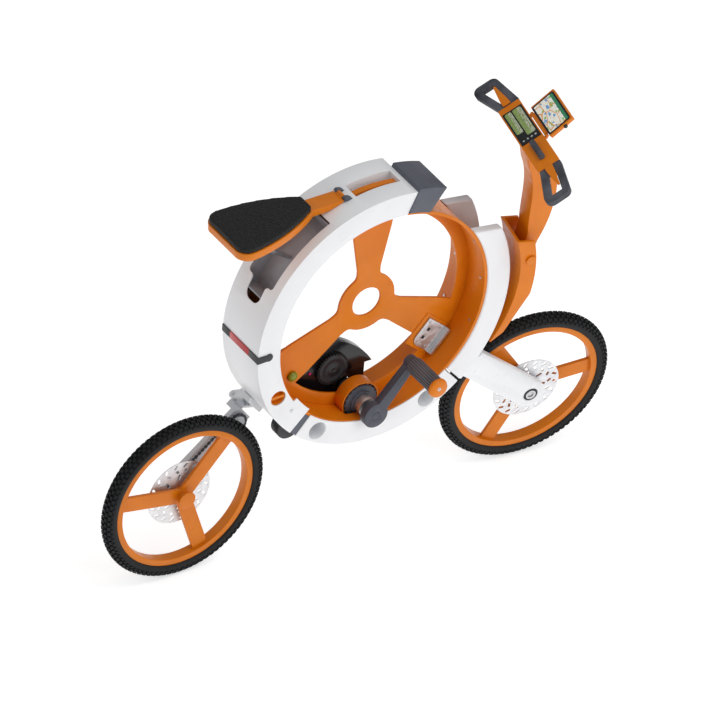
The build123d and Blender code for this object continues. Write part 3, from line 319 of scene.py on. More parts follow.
# Piano-black polycarbonate: a deep, sharp gloss.
black_gloss = moulding("black_gloss_polycarbonate", "#131418", "#0e0f12", 0.14, 1.2, 0.01)
for name in ("drive_motor", "trolley_roller"):
    rounded(name, black_plastic, 2.5)
rounded("battery_housing", black_gloss, 4.0)
rounded("spindle_sleeve", satin_steel, 0.8)
rounded("crank_spindle", slate_alloy, 0.8)
for name in ("right_crank", "left_crank"):
    rounded(name, slate_alloy, 4.0)
rounded("chainring", slate_plastic, 0.8)


# ---- steering head, yoke, arms and brackets ----
# The head, the yoke and the front arm are cast aluminium, enamelled white. The rear arm is the chain's moulded
# case. They turn on steel pins and bolts, and the head stands on a bracket of bent steel.
def put_on(node_name, material):
    """Gives a CAD node its finish, with its mesh as it is."""
    holder = frame["nodes"][node_name]
    holder.data.materials.clear()
    holder.data.materials.append(material)
    for face in holder.data.polygons:
        face.material_index = 0


# White stove enamel: even and half gloss, with a thin clear coat.
white_enamel = enamel("white_stove_enamel", "#eef0f2", "#ebedf0", 0.3, 0.3)
# ABS moulding, pale grey beside the white of the shells.
case_plastic = moulding("pale_grey_chain_case_abs", "#d5d8dc", "#cbced4", 0.34, 0.8, 0.03)
rounded("steering_head", white_enamel, 4.0)
for name in ("steering_yoke", "rear_hinge_bracket"):
    rounded(name, white_enamel, 2.0)
rounded("front_arm", white_enamel, 5.0)
rounded("rear_arm", case_plastic, 2.5)
rounded("head_bracket", satin_steel, 0.8)
for name in ("pedal_axles", "panel_screws", "rear_hinge_pin", "front_hinge_pin", "rear_axle_bolt",
             "front_axle_bolt", "rear_cog"):
    put_on(name, satin_steel)


# ---- steering column, stem, console and grips ----
# A folded sheet column, a hollow stem that folds on a pin, and a console that holds the two displays, all
# enamelled orange. The looped grips and the shift grip are rubber moulded over alloy, the levers are pressed.
# Rubber with a mottled skin: greys that vary every few millimetres, and no gloss.
grip_rubber = moulding("mottled_grip_rubber", "#5b5e66", "#2f3137", 0.66, 2.2, 0.5, specular=0.3)
for name in ("steering_column", "stem", "console", "left_lever", "right_lever"):
    rounded(name, orange_enamel, 1.6)
rounded("stem_pivot_pin", orange_enamel, 0.8)
rounded("map_display", orange_enamel, 2.5)
rounded("centre_display", black_gloss, 1.0)
for name in ("left_handle", "right_handle", "shift_grip"):
    rounded(name, grip_rubber, 4.0)


# ---- saddle shell and strut ----
# A moulded shell under the pad, hinged at its nose and enamelled orange, and the steel strut that props it.
rounded("seat_base", orange_enamel, 5.0)
rounded("seat_strut", satin_steel, 0.8)


# ---- wheels ----
# Knobbly tyres, each a rubber casing with rings of moulded knobs, on three-spoke wheels of cast aluminium. The
# wheels are enamelled orange like the ring.
def block_ring_tree():
    """A ring of equal blocks about Y, as a node group with its sizes as inputs."""
    tree = bpy.data.node_groups.new("ring_of_blocks", "GeometryNodeTree")
    tree.interface.new_socket("Geometry", in_out="OUTPUT", socket_type="NodeSocketGeometry")
    for name, kind in (("Count", "Int"), ("Radius", "Float"), ("Side", "Float"), ("Start", "Float"),
                       ("Size", "Vector"), ("Turn", "Vector"), ("Finish", "Material")):
        tree.interface.new_socket(name, in_out="INPUT", socket_type="NodeSocket" + kind)
    given = add_node(tree, "NodeGroupInput").outputs
    index = add_node(tree, "GeometryNodeInputIndex").outputs[0]
    step = add_node(tree, "ShaderNodeMath", {0: 2 * pi, 1: given["Count"]}, operation="DIVIDE").outputs[0]
    angle = add_node(tree, "ShaderNodeMath", {0: index, 1: step, 2: given["Start"]},
                     operation="MULTIPLY_ADD").outputs[0]
    turned = []
    for wave in ("COSINE", "SINE"):
        share = add_node(tree, "ShaderNodeMath", {0: angle}, operation=wave).outputs[0]
        turned.append(add_node(tree, "ShaderNodeMath", {0: share, 1: given["Radius"]},
                               operation="MULTIPLY").outputs[0])
    spot = add_node(tree, "ShaderNodeCombineXYZ", {0: turned[0], 1: given["Side"], 2: turned[1]}).outputs[0]
    points = add_node(tree, "GeometryNodeMeshLine", {"Count": given["Count"]})
    placed = add_node(tree, "GeometryNodeSetPosition", {"Geometry": points.outputs[0], "Position": spot})
    block = add_node(tree, "GeometryNodeMeshCube", {"Size": given["Size"]})
    leaned = add_node(tree, "GeometryNodeTransform", {"Geometry": block.outputs[0], "Rotation": given["Turn"]})
    back = add_node(tree, "ShaderNodeMath", {0: angle, 1: -1.0}, operation="MULTIPLY").outputs[0]
    facing = add_node(tree, "ShaderNodeCombineXYZ", {1: back}).outputs[0]
    copies = add_node(tree, "GeometryNodeInstanceOnPoints", {"Points": placed.outputs[0],
                                                             "Instance": leaned.outputs[0], "Rotation": facing})
    real = add_node(tree, "GeometryNodeRealizeInstances", {0: copies.outputs[0]})
    painted = add_node(tree, "GeometryNodeSetMaterial", {"Geometry": real.outputs[0],
                                                         "Material": given["Finish"]})
    add_node(tree, "NodeGroupOutput", {0: painted.outputs[0]})
    return tree


# Stove enamel again, with a little more coat than the ring's.
rim_enamel = enamel("orange_rim_enamel", "#da7806", "#cf6f03", 0.32, 0.06)
# Vulcanised rubber: near black, dry and finely pitted.
black_rubber = moulding("black_tyre_rubber", "#1d1e20", "#161719", 0.62, 1.3, 0.25, specular=0.25)
for name in ("rear_rim", "front_rim"):
    rounded(name, rim_enamel, 1.2)

block_tree = block_ring_tree()


def new_piece(name, mesh):
    """An object at the origin that holds the mesh."""
    piece = bpy.data.objects.new(name, mesh)
    bpy.context.scene.collection.objects.link(piece)
    return piece


def block_ring(name, place, finish, count, radius, side, size, turn=(0, 0, 0), start=0.0):
    """A ring of blocks as a plain mesh: size is radial, along the axle and round the ring."""
    piece = new_piece(name, bpy.data.meshes.new(name))
    modifier = piece.modifiers.new("ring", "NODES")
    modifier.node_group = block_tree
    values = {"Count": count, "Radius": radius, "Side": side, "Start": start, "Size": size, "Turn": turn,
              "Finish": finish}
    for item in block_tree.interface.items_tree:
        if item.in_out == "INPUT":
            modifier[item.identifier] = values[item.name]
    bake(piece)
    piece.data.transform(place)
    return piece


def join(name, pieces):
    """Several meshes as one piece."""
    whole = bmesh.new()
    materials = []
    for piece in pieces:
        start = len(whole.faces)
        whole.from_mesh(piece.data)
        whole.faces.ensure_lookup_table()
        for face in whole.faces[start:]:
            finish = piece.data.materials[face.material_index]
            if finish not in materials:
                materials.append(finish)
            face.material_index = materials.index(finish)
        bpy.data.objects.remove(piece)
    mesh = bpy.data.meshes.new(name)
    whole.to_mesh(mesh)
    whole.free()
    for finish in materials:
        mesh.materials.append(finish)
    return new_piece(name, mesh)


def turning(name, place, outline, finish, steps=96, smooth=True):
    """A closed body of revolution about Y, from an outline of (radius, side) points."""
    mesh = bpy.data.meshes.new(name)
    verts, faces, count = [], [], len(outline)
    for k in range(steps):
        angle = 2 * pi * k / steps
        verts += [(r * cos(angle), y, r * sin(angle)) for r, y in outline]
    for k in range(steps):
        for i in range(count):
            a, b = k * count + i, k * count + (i + 1) % count
            c, d = (k + 1) % steps * count + (i + 1) % count, (k + 1) % steps * count + i
            faces.append((a, b, c, d))
    mesh.from_pydata(verts, [], faces)
    mesh.transform(place)
    mesh.materials.append(finish)
    shape = bmesh.new()
    shape.from_mesh(mesh)
    bmesh.ops.remove_doubles(shape, verts=shape.verts, dist=1e-6)
    bmesh.ops.recalc_face_normals(shape, faces=shape.faces)
    shape.to_mesh(mesh)
    shape.free()
    for face in mesh.polygons:
        face.use_smooth = smooth
    return new_piece(name, mesh)


def arc_points(centre, radius, start, end, steps):
    """Points (radius, side) on an arc, angles in degrees from the outward direction."""
    return [(centre[0] + radius * cos(radians(start + (end - start) * k / steps)),
             centre[1] + radius * sin(radians(start + (end - start) * k / steps))) for k in range(steps + 1)]


def axle_place(joint_name):
    """From a wheel's own axes, Y along its axle, to where it stands."""
    joint = joints[joint_name]
    turn = Vector((0, 1, 0)).rotation_difference(Vector(joint["axis"])).to_matrix().to_4x4()
    return Matrix.Translation(joint["pos_m"]) @ turn


tread_radius = 0.2490
tyre_half = 0.0205
bead_degrees = 125
knob_count = 88
knob_lift = 0.0012
# Each row of knobs: its lean from the tyre's crown in degrees, its shift round the tyre in pitches, and a
# knob's size, which is its height, its width along the axle and its length round the tyre.
knob_rows = ((0, 0.0, (0.0080, 0.0085, 0.0086)),
             (22, 0.5, (0.0080, 0.0062, 0.0098)), (-22, 0.5, (0.0080, 0.0062, 0.0098)),
             (47, 0.0, (0.0074, 0.0070, 0.0108)), (-47, 0.0, (0.0074, 0.0070, 0.0108)),
             (68, 0.5, (0.0040, 0.0048, 0.0080)), (-68, 0.5, (0.0040, 0.0048, 0.0080)))
for side_name in ("rear", "front"):
    place = axle_place(side_name + "_wheel_spin")
    crown = (tread_radius - tyre_half, 0.0)
    parts = [turning(side_name + "_casing", place,
                     arc_points(crown, tyre_half, -bead_degrees, bead_degrees, 28), black_rubber)]
    pitch = 2 * pi / knob_count
    for row, (lean, shift, size) in enumerate(knob_rows):
        angle = radians(lean)
        reach = tyre_half + knob_lift
        parts.append(block_ring(f"{side_name}_knobs_{row}", place, black_rubber, knob_count,
                                crown[0] + reach * cos(angle), reach * sin(angle), size,
                                (0, 0, angle), shift * pitch))
    tyre = join(side_name + "_knobbly_tyre", parts)
    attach(tyre, side_name + "_wheel")
    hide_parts(side_name + "_tyre")


# ---- brake discs ----
# A disc on each hub, laser cut from steel sheet and ground, with three rings of slanted slots that cool it.
# Ground steel: bright, with a fine even scatter.
disc_steel = metal("ground_brake_steel", "#eceef0", "#d6d8db", 0.5, (1.0, 1.0, 1.0))
disc_outer = 0.0995
disc_inner = 0.020
face_gap = 0.0001
slot_width = 0.0074
slot_depth = 0.006
# Each ring of slots: how many, at what radius, how long, slanted by how many degrees, and its start in radians.
slot_rings = ((18, 0.0875, 0.0150, 42, 0.0), (16, 0.0700, 0.0130, -38, 0.13), (8, 0.0500, 0.0180, 20, 0.05))
for side_name in ("rear", "front"):
    place = axle_place(side_name + "_wheel_spin")
    flat = place.inverted()
    sides = [(flat @ v.co).y for v in frame["nodes"][side_name + "_disc"].data.vertices]
    low, high = min(sides) + face_gap, max(sides) - face_gap
    middle = (low + high) / 2
    disc = turning(side_name + "_slotted_disc", place,
                   [(disc_inner, low), (disc_outer, low), (disc_outer, high), (disc_inner, high)],
                   disc_steel, 120, False)
    cutters = [block_ring(f"{side_name}_slots_{row}", place, disc_steel, count, radius, middle,
                          (length, slot_depth, slot_width), (0, radians(turn), 0), start)
               for row, (count, radius, length, turn, start) in enumerate(slot_rings)]
    cutter = join("cutter", cutters)
    cut = disc.modifiers.new("slots", "BOOLEAN")
    cut.operation = "DIFFERENCE"
    cut.solver = "EXACT"
    cut.object = cutter
    bake(disc)
    bpy.data.objects.remove(cutter)
    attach(disc, side_name + "_wheel")
    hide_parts(side_name + "_disc")


# ---- pedals ----
# Barrel pedals: a ribbed rubber sleeve that turns on the axle, closed by an enamelled end cap with a small
# steel screw in its middle.
# Softer rubber than the grips': mid grey, dull and smooth.
pedal_rubber = moulding("grey_pedal_rubber", "#6f7177", "#5c5e65", 0.6, 1.0, 0.15, specular=0.35)
rib_count = 22
cap_length = 0.012
# A hair's breadth at the middle of a turned piece, so that its outline closes round the axis.
pole = 0.0002
for side_name in ("right", "left"):
    place = Matrix.Translation(joints[side_name + "_pedal_spin"]["pos_m"])
    node_name = side_name + "_pedal"
    low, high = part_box(node_name)
    outward = -1 if side_name == "right" else 1
    centre = joints[side_name + "_pedal_spin"]["pos_m"][1]
    inner = (high.y if outward < 0 else low.y) - centre
    outer = (low.y if outward < 0 else high.y) - centre
    cap_root = outer - outward * cap_length
    barrel = turning(side_name + "_barrel", place, [
        (0.0062, inner), (0.0200, inner), (0.0222, inner + outward * 0.002),
        (0.0222, cap_root), (0.0062, cap_root)], pedal_rubber)
    ribs = block_ring(side_name + "_ribs", place, pedal_rubber, rib_count, 0.0228, (inner + cap_root) / 2,
                      (0.0044, abs(cap_root - inner) - 0.006, 0.0036))
    cap = turning(side_name + "_cap", place, [
        (pole, cap_root - outward * 0.0005), (0.0270, cap_root - outward * 0.0005),
        (0.0288, cap_root + outward * 0.0015), (0.0288, cap_root + outward * 0.0060),
        (0.0262, outer - outward * 0.0006), (0.0070, outer), (pole, outer)], orange_enamel)
    screw = turning(side_name + "_cap_screw", place, [
        (pole, outer - outward * 0.001), (0.0058, outer - outward * 0.001),
        (0.0052, outer + outward * 0.0010), (0.0024, outer + outward * 0.0012),
        (0.0022, outer - outward * 0.0002), (pole, outer - outward * 0.0002)], satin_steel, 32)
    pedal = join(side_name + "_ribbed_pedal", [barrel, ribs, cap, screw])
    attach(pedal, node_name)
    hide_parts(node_name)


# ---- chain ----
# A roller chain round the cog and the guide at the arm's root: pressed links with a roller between them, at
# half-inch pitch.
# Oiled steel: dark and a little uneven, with small highlights.
chain_steel = metal("oiled_chain_steel", "#55575c", "#2f3034", 0.4, (1.0, 1.0, 1.0))
cog_at = Vector(joints["rear_wheel_spin"]["pos_m"])
arm_way = Vector((cog_at.x, 0, cog_at.z)).normalized()
guide_radius = 0.480
guide_at = arm_way * guide_radius
chain_low, chain_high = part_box("chain")
chain_side = (chain_low.y + chain_high.y) / 2
chain_radius = 0.0278
across_way = Vector((-arm_way.z, 0, arm_way.x))
link_pitch = 0.0127
half_turns = 14
loop_points = []
for centre, first_degrees in ((cog_at, -90), (guide_at, 90)):
    for k in range(half_turns + 1):
        angle = radians(first_degrees + 180 * k / half_turns)
        spot = centre + chain_radius * (cos(angle) * arm_way + sin(angle) * across_way)
        loop_points.append((spot.x, chain_side, spot.z))
path_mesh = bpy.data.meshes.new("chain_path")
path_mesh.from_pydata(loop_points, [(k, (k + 1) % len(loop_points)) for k in range(len(loop_points))], [])
chain_piece = new_piece("roller_chain", path_mesh)
tree = bpy.data.node_groups.new("links_on_path", "GeometryNodeTree")
tree.interface.new_socket("Geometry", in_out="OUTPUT", socket_type="NodeSocketGeometry")
for name, kind in (("Path", "Geometry"), ("Spacing", "Float"), ("Plate", "Vector"), ("Roller", "Vector"),
                   ("Finish", "Material")):
    tree.interface.new_socket(name, in_out="INPUT", socket_type="NodeSocket" + kind)
given = add_node(tree, "NodeGroupInput").outputs
curve = add_node(tree, "GeometryNodeMeshToCurve", {"Mesh": given["Path"]})
even = add_node(tree, "GeometryNodeResampleCurve", {"Curve": curve.outputs[0], "Length": given["Spacing"]},
                mode="LENGTH")
tangent = add_node(tree, "GeometryNodeInputTangent").outputs[0]
facing = add_node(tree, "FunctionNodeAlignEulerToVector", {"Vector": tangent}, axis="X", pivot_axis="Y")
plate = add_node(tree, "GeometryNodeMeshCube", {"Size": given["Plate"]})
roller = add_node(tree, "GeometryNodeMeshCube", {"Size": given["Roller"]})
link = add_node(tree, "GeometryNodeJoinGeometry", {0: plate.outputs[0]})
tree.links.new(roller.outputs[0], link.inputs[0])
copies = add_node(tree, "GeometryNodeInstanceOnPoints", {"Points": even.outputs[0], "Instance": link.outputs[0],
                                                         "Rotation": facing.outputs[0]})
real = add_node(tree, "GeometryNodeRealizeInstances", {0: copies.outputs[0]})
painted = add_node(tree, "GeometryNodeSetMaterial", {"Geometry": real.outputs[0], "Material": given["Finish"]})
add_node(tree, "NodeGroupOutput", {0: painted.outputs[0]})
modifier = chain_piece.modifiers.new("links", "NODES")
modifier.node_group = tree
values = {"Spacing": link_pitch, "Plate": (0.0098, 0.0052, 0.0062), "Roller": (0.0128, 0.0024, 0.0034),
          "Finish": chain_steel}
for item in tree.interface.items_tree:
    if item.in_out == "INPUT" and item.name in values:
        modifier[item.identifier] = values[item.name]
bake(chain_piece)
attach(chain_piece, "rear_arm")
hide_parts("chain")


# ---- saddle pad ----
# A moulded foam pad with a coarse granular skin, glued to the orange shell. Its edge is rounded, and it stands
# a little higher along its middle.
def foam_skin():
    """Self-skinned polyurethane foam, black, with open grains about 5 mm across that catch the light."""
    material, tree, shader, place = blank_material("granular_black_foam")
    grain = add_node(tree, "ShaderNodeTexVoronoi", {"Vector": place, "Scale": 210.0, "Randomness": 1.0})
    ramp = add_node(tree, "ShaderNodeValToRGB", {"Fac": grain.outputs["Distance"]})
    ramp.color_ramp.elements[0].position = 0.12
    ramp.color_ramp.elements[0].color = linear("#26272a")
    ramp.color_ramp.elements[1].position = 0.5
    ramp.color_ramp.elements[1].color = linear("#060607")
    tree.links.new(ramp.outputs[0], shader.inputs["Base Color"])
    lump = add_node(tree, "ShaderNodeTexNoise", {"Vector": place, "Scale": 120.0, "Detail": 3.0})
    both = add_node(tree, "ShaderNodeMath", {0: grain.outputs["Distance"], 1: lump.outputs[0]},
                    operation="SUBTRACT")
    bump = add_node(tree, "ShaderNodeBump", {"Height": both.outputs[0], "Strength": 0.8, "Distance": 0.002},
                    invert=True)
    tree.links.new(bump.outputs[0], shader.inputs["Normal"])
    shader.inputs["Roughness"].default_value = 0.62
    shader.inputs["Specular IOR Level"].default_value = 0.4
    return material


def soft_copy(name, node_name, voxel, rounds, finish):
    """A CAD solid remeshed evenly and smoothed, as a moulding with no hard edge."""
    source = frame["nodes"][node_name]
    shape = bmesh.new()
    shape.from_mesh(source.data)
    bmesh.ops.remove_doubles(shape, verts=shape.verts, dist=2e-6)
    mesh = bpy.data.meshes.new(name)
    shape.to_mesh(mesh)
    shape.free()
    mesh.materials.clear()
    mesh.materials.append(finish)
    piece = new_piece(name, mesh)
    even = piece.modifiers.new("even", "REMESH")
    even.mode = "VOXEL"
    even.voxel_size = voxel
    even.use_smooth_shade = True
    ease = piece.modifiers.new("ease", "SMOOTH")
    ease.iterations = rounds
    ease.factor = 0.5
    bake(piece)
    for face in piece.data.polygons:
        face.use_smooth = True
        face.material_index = 0
    return piece


pad_voxel = 0.0028
pad_smoothing = 7
crown_height = 0.004
top_slope = 0.3
pad = soft_copy("foam_saddle_pad", "seat_pad", pad_voxel, pad_smoothing, foam_skin())
pad_low, pad_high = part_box("seat_pad")
half_width = (pad_high.y - pad_low.y) / 2
for vertex in pad.data.vertices:
    spread = min(1.0, abs(vertex.co.y) / half_width)
    if vertex.normal.z > top_slope:
        vertex.co.z += crown_height * (1 - spread * spread)
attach(pad, "seat")
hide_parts("seat_pad")


# ---- displays ----
# A centre display with two LCD windows and four printed key marks in a gloss black bezel, and a colour
# map display in an orange frame with a small knob on its right edge. Both show generic graphics.
def plate_on(name, place, u_from, v_from, u_to, v_to, low, high, finish, corner=0.002):
    """A rounded plate on a face: u to the rider's right, v up the face, low and high above it."""
    shape = bmesh.new()
    bmesh.ops.create_cube(shape, size=1.0)
    for vertex in shape.verts:
        x, y, z = vertex.co
        vertex.co = (u_from + (x + 0.5) * (u_to - u_from), v_from + (y + 0.5) * (v_to - v_from),
                     low + (z + 0.5) * (high - low))
    upright = [edge for edge in shape.edges if abs(edge.verts[0].co.z - edge.verts[1].co.z) > 1e-5]
    bmesh.ops.bevel(shape, geom=upright, offset=corner, segments=4, affect="EDGES")
    mesh = bpy.data.meshes.new(name)
    shape.to_mesh(mesh)
    shape.free()
    layer = mesh.uv_layers.new(name="face")
    for loop in mesh.loops:
        spot = mesh.vertices[loop.vertex_index].co
        layer.data[loop.index].uv = ((spot.x - u_from) / (u_to - u_from), (spot.y - v_from) / (v_to - v_from))
    mesh.transform(place)
    mesh.materials.append(finish)
    return new_piece(name, mesh)


def screen_finish(name):
    """A lit LCD behind clear gloss glass: material, tree, shader and the position on its face."""
    material, tree, shader, place = blank_material(name)
    shader.inputs["Roughness"].default_value = 0.12
    shader.inputs["Coat Weight"].default_value = 0.4
    face = add_node(tree, "ShaderNodeUVMap", uv_map="face").outputs[0]
    return material, tree, shader, face


def mixed(tree, share, first, second):
    """first where share is 0, second where it is 1."""
    blend = add_node(tree, "ShaderNodeMix", data_type="RGBA")
    for socket, value in ((0, share), (6, first), (7, second)):
        if isinstance(value, bpy.types.NodeSocket):
            tree.links.new(value, blend.inputs[socket])
        else:
            blend.inputs[socket].default_value = value
    return blend.outputs[2]


def step_above(tree, value, edge):
    """1 where the value is above the edge, 0 elsewhere."""
    return add_node(tree, "ShaderNodeMath", {0: value, 1: edge}, operation="GREATER_THAN").outputs[0]


# Reflective segment LCD: grey-green glass with rows of dark bars.
lcd, tree, shader, face = screen_finish("segment_lcd")
bars = add_node(tree, "ShaderNodeTexBrick", {"Vector": face, "Color1": linear("#3d4a2e"),
                                             "Color2": linear("#55653f"), "Mortar": linear("#b9c98c"),
                                             "Scale": 5.0, "Mortar Size": 0.055, "Brick Width": 0.34,
                                             "Row Height": 0.42})
halves = add_node(tree, "ShaderNodeSeparateXYZ", {0: face}).outputs
lower = step_above(tree, halves[1], 0.52)
tinted = mixed(tree, lower, linear("#86a052"), linear("#b8bfa6"))
noise = add_node(tree, "ShaderNodeTexNoise", {"Vector": face, "Scale": 7.0, "Detail": 2.0})
drawn = step_above(tree, noise.outputs[0], 0.53)
tree.links.new(mixed(tree, drawn, tinted, bars.outputs[0]), shader.inputs["Base Color"])

# Colour LCD: a pale town plan with green parks, blue water and orange roads, and a green title bar.
chart, tree, shader, face = screen_finish("map_lcd")
streets = add_node(tree, "ShaderNodeTexVoronoi", {"Vector": face, "Scale": 9.0, "Randomness": 0.8},
                   feature="DISTANCE_TO_EDGE")
lane = add_node(tree, "ShaderNodeMath", {0: streets.outputs["Distance"], 1: 0.045},
                operation="LESS_THAN").outputs[0]
blocks = add_node(tree, "ShaderNodeTexVoronoi", {"Vector": face, "Scale": 9.0, "Randomness": 0.8})
patch = add_node(tree, "ShaderNodeValToRGB", {"Fac": add_node(
    tree, "ShaderNodeSeparateColor", {0: blocks.outputs["Color"]}).outputs[0]})
patch.color_ramp.interpolation = "CONSTANT"
for place_on_ramp, code in ((0.0, "#e6e2d2"), (0.55, "#8fb86a"), (0.72, "#6f9fce"), (0.86, "#efe9dc")):
    element = patch.color_ramp.elements.new(place_on_ramp) if place_on_ramp else patch.color_ramp.elements[0]
    element.color = linear(code)
patch.color_ramp.elements.remove(patch.color_ramp.elements[-1])
main_road = add_node(tree, "ShaderNodeTexVoronoi", {"Vector": face, "Scale": 2.6}, feature="DISTANCE_TO_EDGE")
road = add_node(tree, "ShaderNodeMath", {0: main_road.outputs["Distance"], 1: 0.03},
                operation="LESS_THAN").outputs[0]
plan = mixed(tree, lane, patch.outputs[0], linear("#f7f5ee"))
plan = mixed(tree, road, plan, linear("#d98a2b"))
halves = add_node(tree, "ShaderNodeSeparateXYZ", {0: face}).outputs
plan = mixed(tree, step_above(tree, halves[1], 0.86), plan, linear("#2d7d57"))
tree.links.new(plan, shader.inputs["Base Color"])
tree.links.new(plan, shader.inputs["Emission Color"])
shader.inputs["Emission Strength"].default_value = 0.12

# Screen-printed ink: plain white and matt.
white_ink = moulding("white_printed_ink", "#f4f4f4", "#e6e6e6", 0.5, 0.5, 0.02)
right_pivot = Vector(joints["right_lever_pull"]["pos_m"])
left_pivot = Vector(joints["left_lever_pull"]["pos_m"])
face_normal = Vector(joints["left_lever_pull"]["axis"]).normalized()
to_right = (right_pivot - left_pivot).normalized()
up_face = face_normal.cross(to_right)
face_place = Matrix.Translation((right_pivot + left_pivot) / 2) @ \
    Matrix((to_right, up_face, face_normal)).transposed().to_4x4()
face_inside = face_place.inverted()


def extent(node_name, inside):
    """Lowest and highest corner of a CAD node, seen from a place turned with it."""
    spots = [inside @ vertex.co for vertex in frame["nodes"][node_name].data.vertices]
    return [min(s[k] for s in spots) for k in range(3)], [max(s[k] for s in spots) for k in range(3)]


low, high = extent("centre_display", face_inside)
top = high[2]
bezel = 0.005
key_band = 0.022
lower_short = 0.018
sunk = 0.0004
glass_proud = 0.0007
ink_proud = 0.0006
key_count = 4
key_inset = 0.006
key_half = 0.0032
key_from, key_to = 0.015, 0.008
key_corner = 0.0028
middle_v = (low[1] + high[1]) / 2
screen_right = high[0] - key_band
panels = [
    plate_on("lcd_upper", face_place, low[0] + bezel, middle_v - 0.001, screen_right, high[1] - bezel,
             top - sunk, top + glass_proud, lcd),
    plate_on("lcd_lower", face_place, low[0] + bezel, low[1] + bezel, screen_right - lower_short,
             middle_v - 0.005, top - sunk, top + glass_proud, lcd)]
key_pitch = (high[1] - low[1] - 2 * (bezel + key_inset)) / (key_count - 1)
for k in range(key_count):
    v = low[1] + bezel + key_inset + k * key_pitch
    panels.append(plate_on(f"key_mark_{k}", face_place, high[0] - key_from, v - key_half, high[0] - key_to,
                           v + key_half, top - sunk, top + ink_proud, white_ink, key_corner))
screens = join("centre_screens", panels)
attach(screens, "handlebar")

map_joint = joints["map_tilt"]
map_slope = radians(42)
tilt_axis = Vector(map_joint["axis"]).normalized()
map_right = -tilt_axis
steer_turn = Vector((0, 1, 0)).rotation_difference(tilt_axis).to_matrix()
map_up = steer_turn @ Vector((cos(map_slope), 0, sin(map_slope)))
map_up = (map_up - map_up.dot(map_right) * map_right).normalized()
map_face = map_right.cross(map_up)
map_place = Matrix.Translation(map_joint["pos_m"]) @ Matrix((map_right, map_up, map_face)).transposed().to_4x4()
low, high = extent("map_display", map_place.inverted())
# The lowest part of the display is its hinge ears, below the frame round the screen.
ear_share = 0.085
body_low = low[1] + (high[1] - low[1]) * ear_share
rim = 0.0045
screen_inset = 0.0045
knob_above_middle = 0.012
knob_below_face = 0.006
top = high[2]
map_parts = [
    plate_on("map_bezel", map_place, low[0] + rim, body_low + rim, high[0] - rim, high[1] - rim,
             top - 0.0006, top + 0.0008, black_gloss, 0.003),
    plate_on("map_screen", map_place, low[0] + rim + screen_inset, body_low + rim + 0.006,
             high[0] - rim - screen_inset, high[1] - rim - 0.005, top + 0.0002, top + 0.0013, chart, 0.001)]
knob_at = (high[0], (body_low + high[1]) / 2 + knob_above_middle, top - knob_below_face)
knob_place = map_place @ Matrix.Translation(knob_at) @ Matrix.Rotation(-pi / 2, 4, "Z")
map_parts.append(turning("map_knob", knob_place, [
    (0.0001, -0.001), (0.0050, -0.001), (0.0054, 0.001), (0.0054, 0.0055), (0.0044, 0.0065), (0.0001, 0.0065)],
    black_plastic, 24))
map_screen = join("map_screens", map_parts)
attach(map_screen, "map_display")


# ---- housing cover, neck collar and lamps ----
# A ribbed cover on the battery housing, a bright collar on the motor's neck, a yellow-green sight on the hub
# plate and a small pink lamp on the housing. The cover is moulded nylon, the collar turned steel and the two
# lenses acrylic.
spindle_at = Vector(joints["crank_spin"]["pos_m"])
housing_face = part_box("battery_housing")[0].y
cover_at = Matrix.Translation((-0.0736, 0, -0.2197))
teeth_count = 36
root = 0.001
dome_steps = (15, 30, 45, 60, 75, 90)
dome_share = 0.55
cover = turning("ribbed_cover", cover_at, [
    (pole, housing_face + root), (pole, housing_face - 0.0150), (0.0120, housing_face - 0.0150),
    (0.0150, housing_face - 0.0110), (0.0300, housing_face - 0.0110), (0.0330, housing_face - 0.0130),
    (0.0430, housing_face - 0.0130), (0.0455, housing_face - 0.0105), (0.0455, housing_face + root)],
    black_plastic, 96)
teeth = block_ring("cover_teeth", cover_at, black_plastic, teeth_count, 0.0462, housing_face - 0.0055,
                   (0.0070, 0.0100, 0.0042))
cover = join("ribbed_housing_cover", [cover, teeth])
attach(cover, "ring_frame")

collar_from, collar_to = 0.012, 0.029
neck_place = Matrix.Translation((spindle_at.x, 0, spindle_at.z))
collar = turning("motor_neck_collar", neck_place, [
    (0.0190, collar_from), (0.0265, collar_from), (0.0275, collar_from + 0.001), (0.0275, collar_to - 0.001),
    (0.0265, collar_to), (0.0190, collar_to)], satin_steel, 72)
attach(collar, "ring_frame")

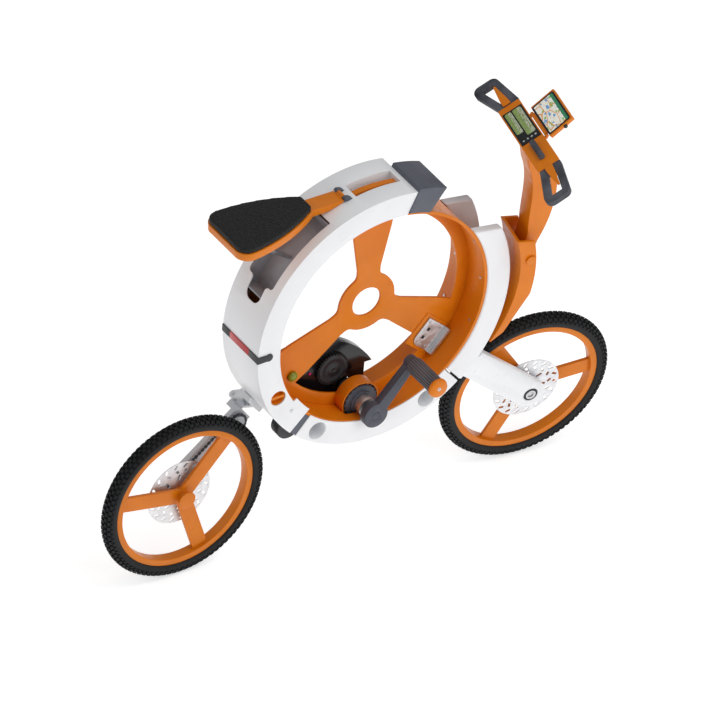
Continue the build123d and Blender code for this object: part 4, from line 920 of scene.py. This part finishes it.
# Tinted acrylic, polished: a clear highlight over a strong colour.
sight_lens = moulding("yellow_green_acrylic_sight", "#8f9a1c", "#6f7a12", 0.14, 3.0, 0.03)
pink_lens = moulding("pink_acrylic_lamp", "#d3156f", "#b20f5c", 0.16, 3.0, 0.03)
plate_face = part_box("spider_plate")[0].y
for name, x, z, radius, face_y, finish in (("charge_sight", -0.2273, -0.1717, 0.0150, plate_face, sight_lens),
                                           ("status_lamp", -0.143, -0.217, 0.0045, housing_face, pink_lens)):
    profile = [(pole, face_y + root), (radius, face_y + root), (radius, face_y - 0.002)]
    profile += [(radius * cos(radians(a)) + pole, face_y - 0.002 - dome_share * radius * sin(radians(a)))
                for a in dome_steps]
    lens_piece = turning(name, Matrix.Translation((x, 0, z)), profile, finish, 48)
    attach(lens_piece, "ring_frame")


# ---- head bracket's slots and rivets ----
# Two square slots punched in the bracket's plate, each drawn as a thin near-black plate of painted shade that
# stands for its shadowed bottom, and four steel rivets near its corners that fix it to the hub plate.
# Painted shade: matt near-black for the slots' shadowed bottoms.
painted_slot_shade = moulding("painted_slot_shade_black", "#2c2d30", "#242528", 0.7, 1.0, 0.05)
bracket_turn = Matrix.Rotation(radians(40), 4, "Y")
bracket_face = -0.012
slot_half = 0.0050
bracket_bits = []
for along, across in ((0.262, 0.013), (0.262, -0.013)):
    slot_at = bracket_turn @ Matrix.Translation((along, bracket_face, across)) @ Matrix.Rotation(pi / 2, 4, "X")
    bracket_bits.append(plate_on("slot_shade_plate", slot_at, -slot_half, -slot_half, slot_half, slot_half,
                                 -0.0006, 0.0004, painted_slot_shade, 0.0008))
for along, across in ((0.250, 0.033), (0.250, -0.022), (0.290, 0.033), (0.290, -0.033)):
    rivet_at = bracket_turn @ Matrix.Translation((along, bracket_face, across))
    bracket_bits.append(turning("rivet", rivet_at, [(0.0001, 0.0005), (0.0030, 0.0005), (0.0028, -0.0006),
                                                    (0.0014, -0.0014), (0.0001, -0.0016)], satin_steel, 20))
bracket_trim = join("bracket_slot_shade_and_rivets", bracket_bits)
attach(bracket_trim, "ring_frame")


# ---- front axle washer ----
# A dished washer under the front axle bolt's head, pressed from steel, in a black nylon seat. The two only
# trim the arm's face.
axle_way = axle_place("front_wheel_spin")
arm_flat = axle_way.inverted()
arm_face = min((arm_flat @ v.co).y for v in frame["nodes"]["front_arm"].data.vertices)
seat_ring = turning("washer_seat", axle_way, [(0.0150, arm_face + 0.001), (0.0205, arm_face + 0.001),
                                              (0.0200, arm_face - 0.0012), (0.0155, arm_face - 0.0012)],
                    black_plastic, 64)
washer = turning("dished_washer", axle_way, [(0.0085, arm_face + 0.001), (0.0152, arm_face + 0.001),
                                             (0.0148, arm_face - 0.0020), (0.0090, arm_face - 0.0008)],
                 satin_steel, 64)
axle_trim = join("front_axle_washer", [seat_ring, washer])
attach(axle_trim, "front_arm")
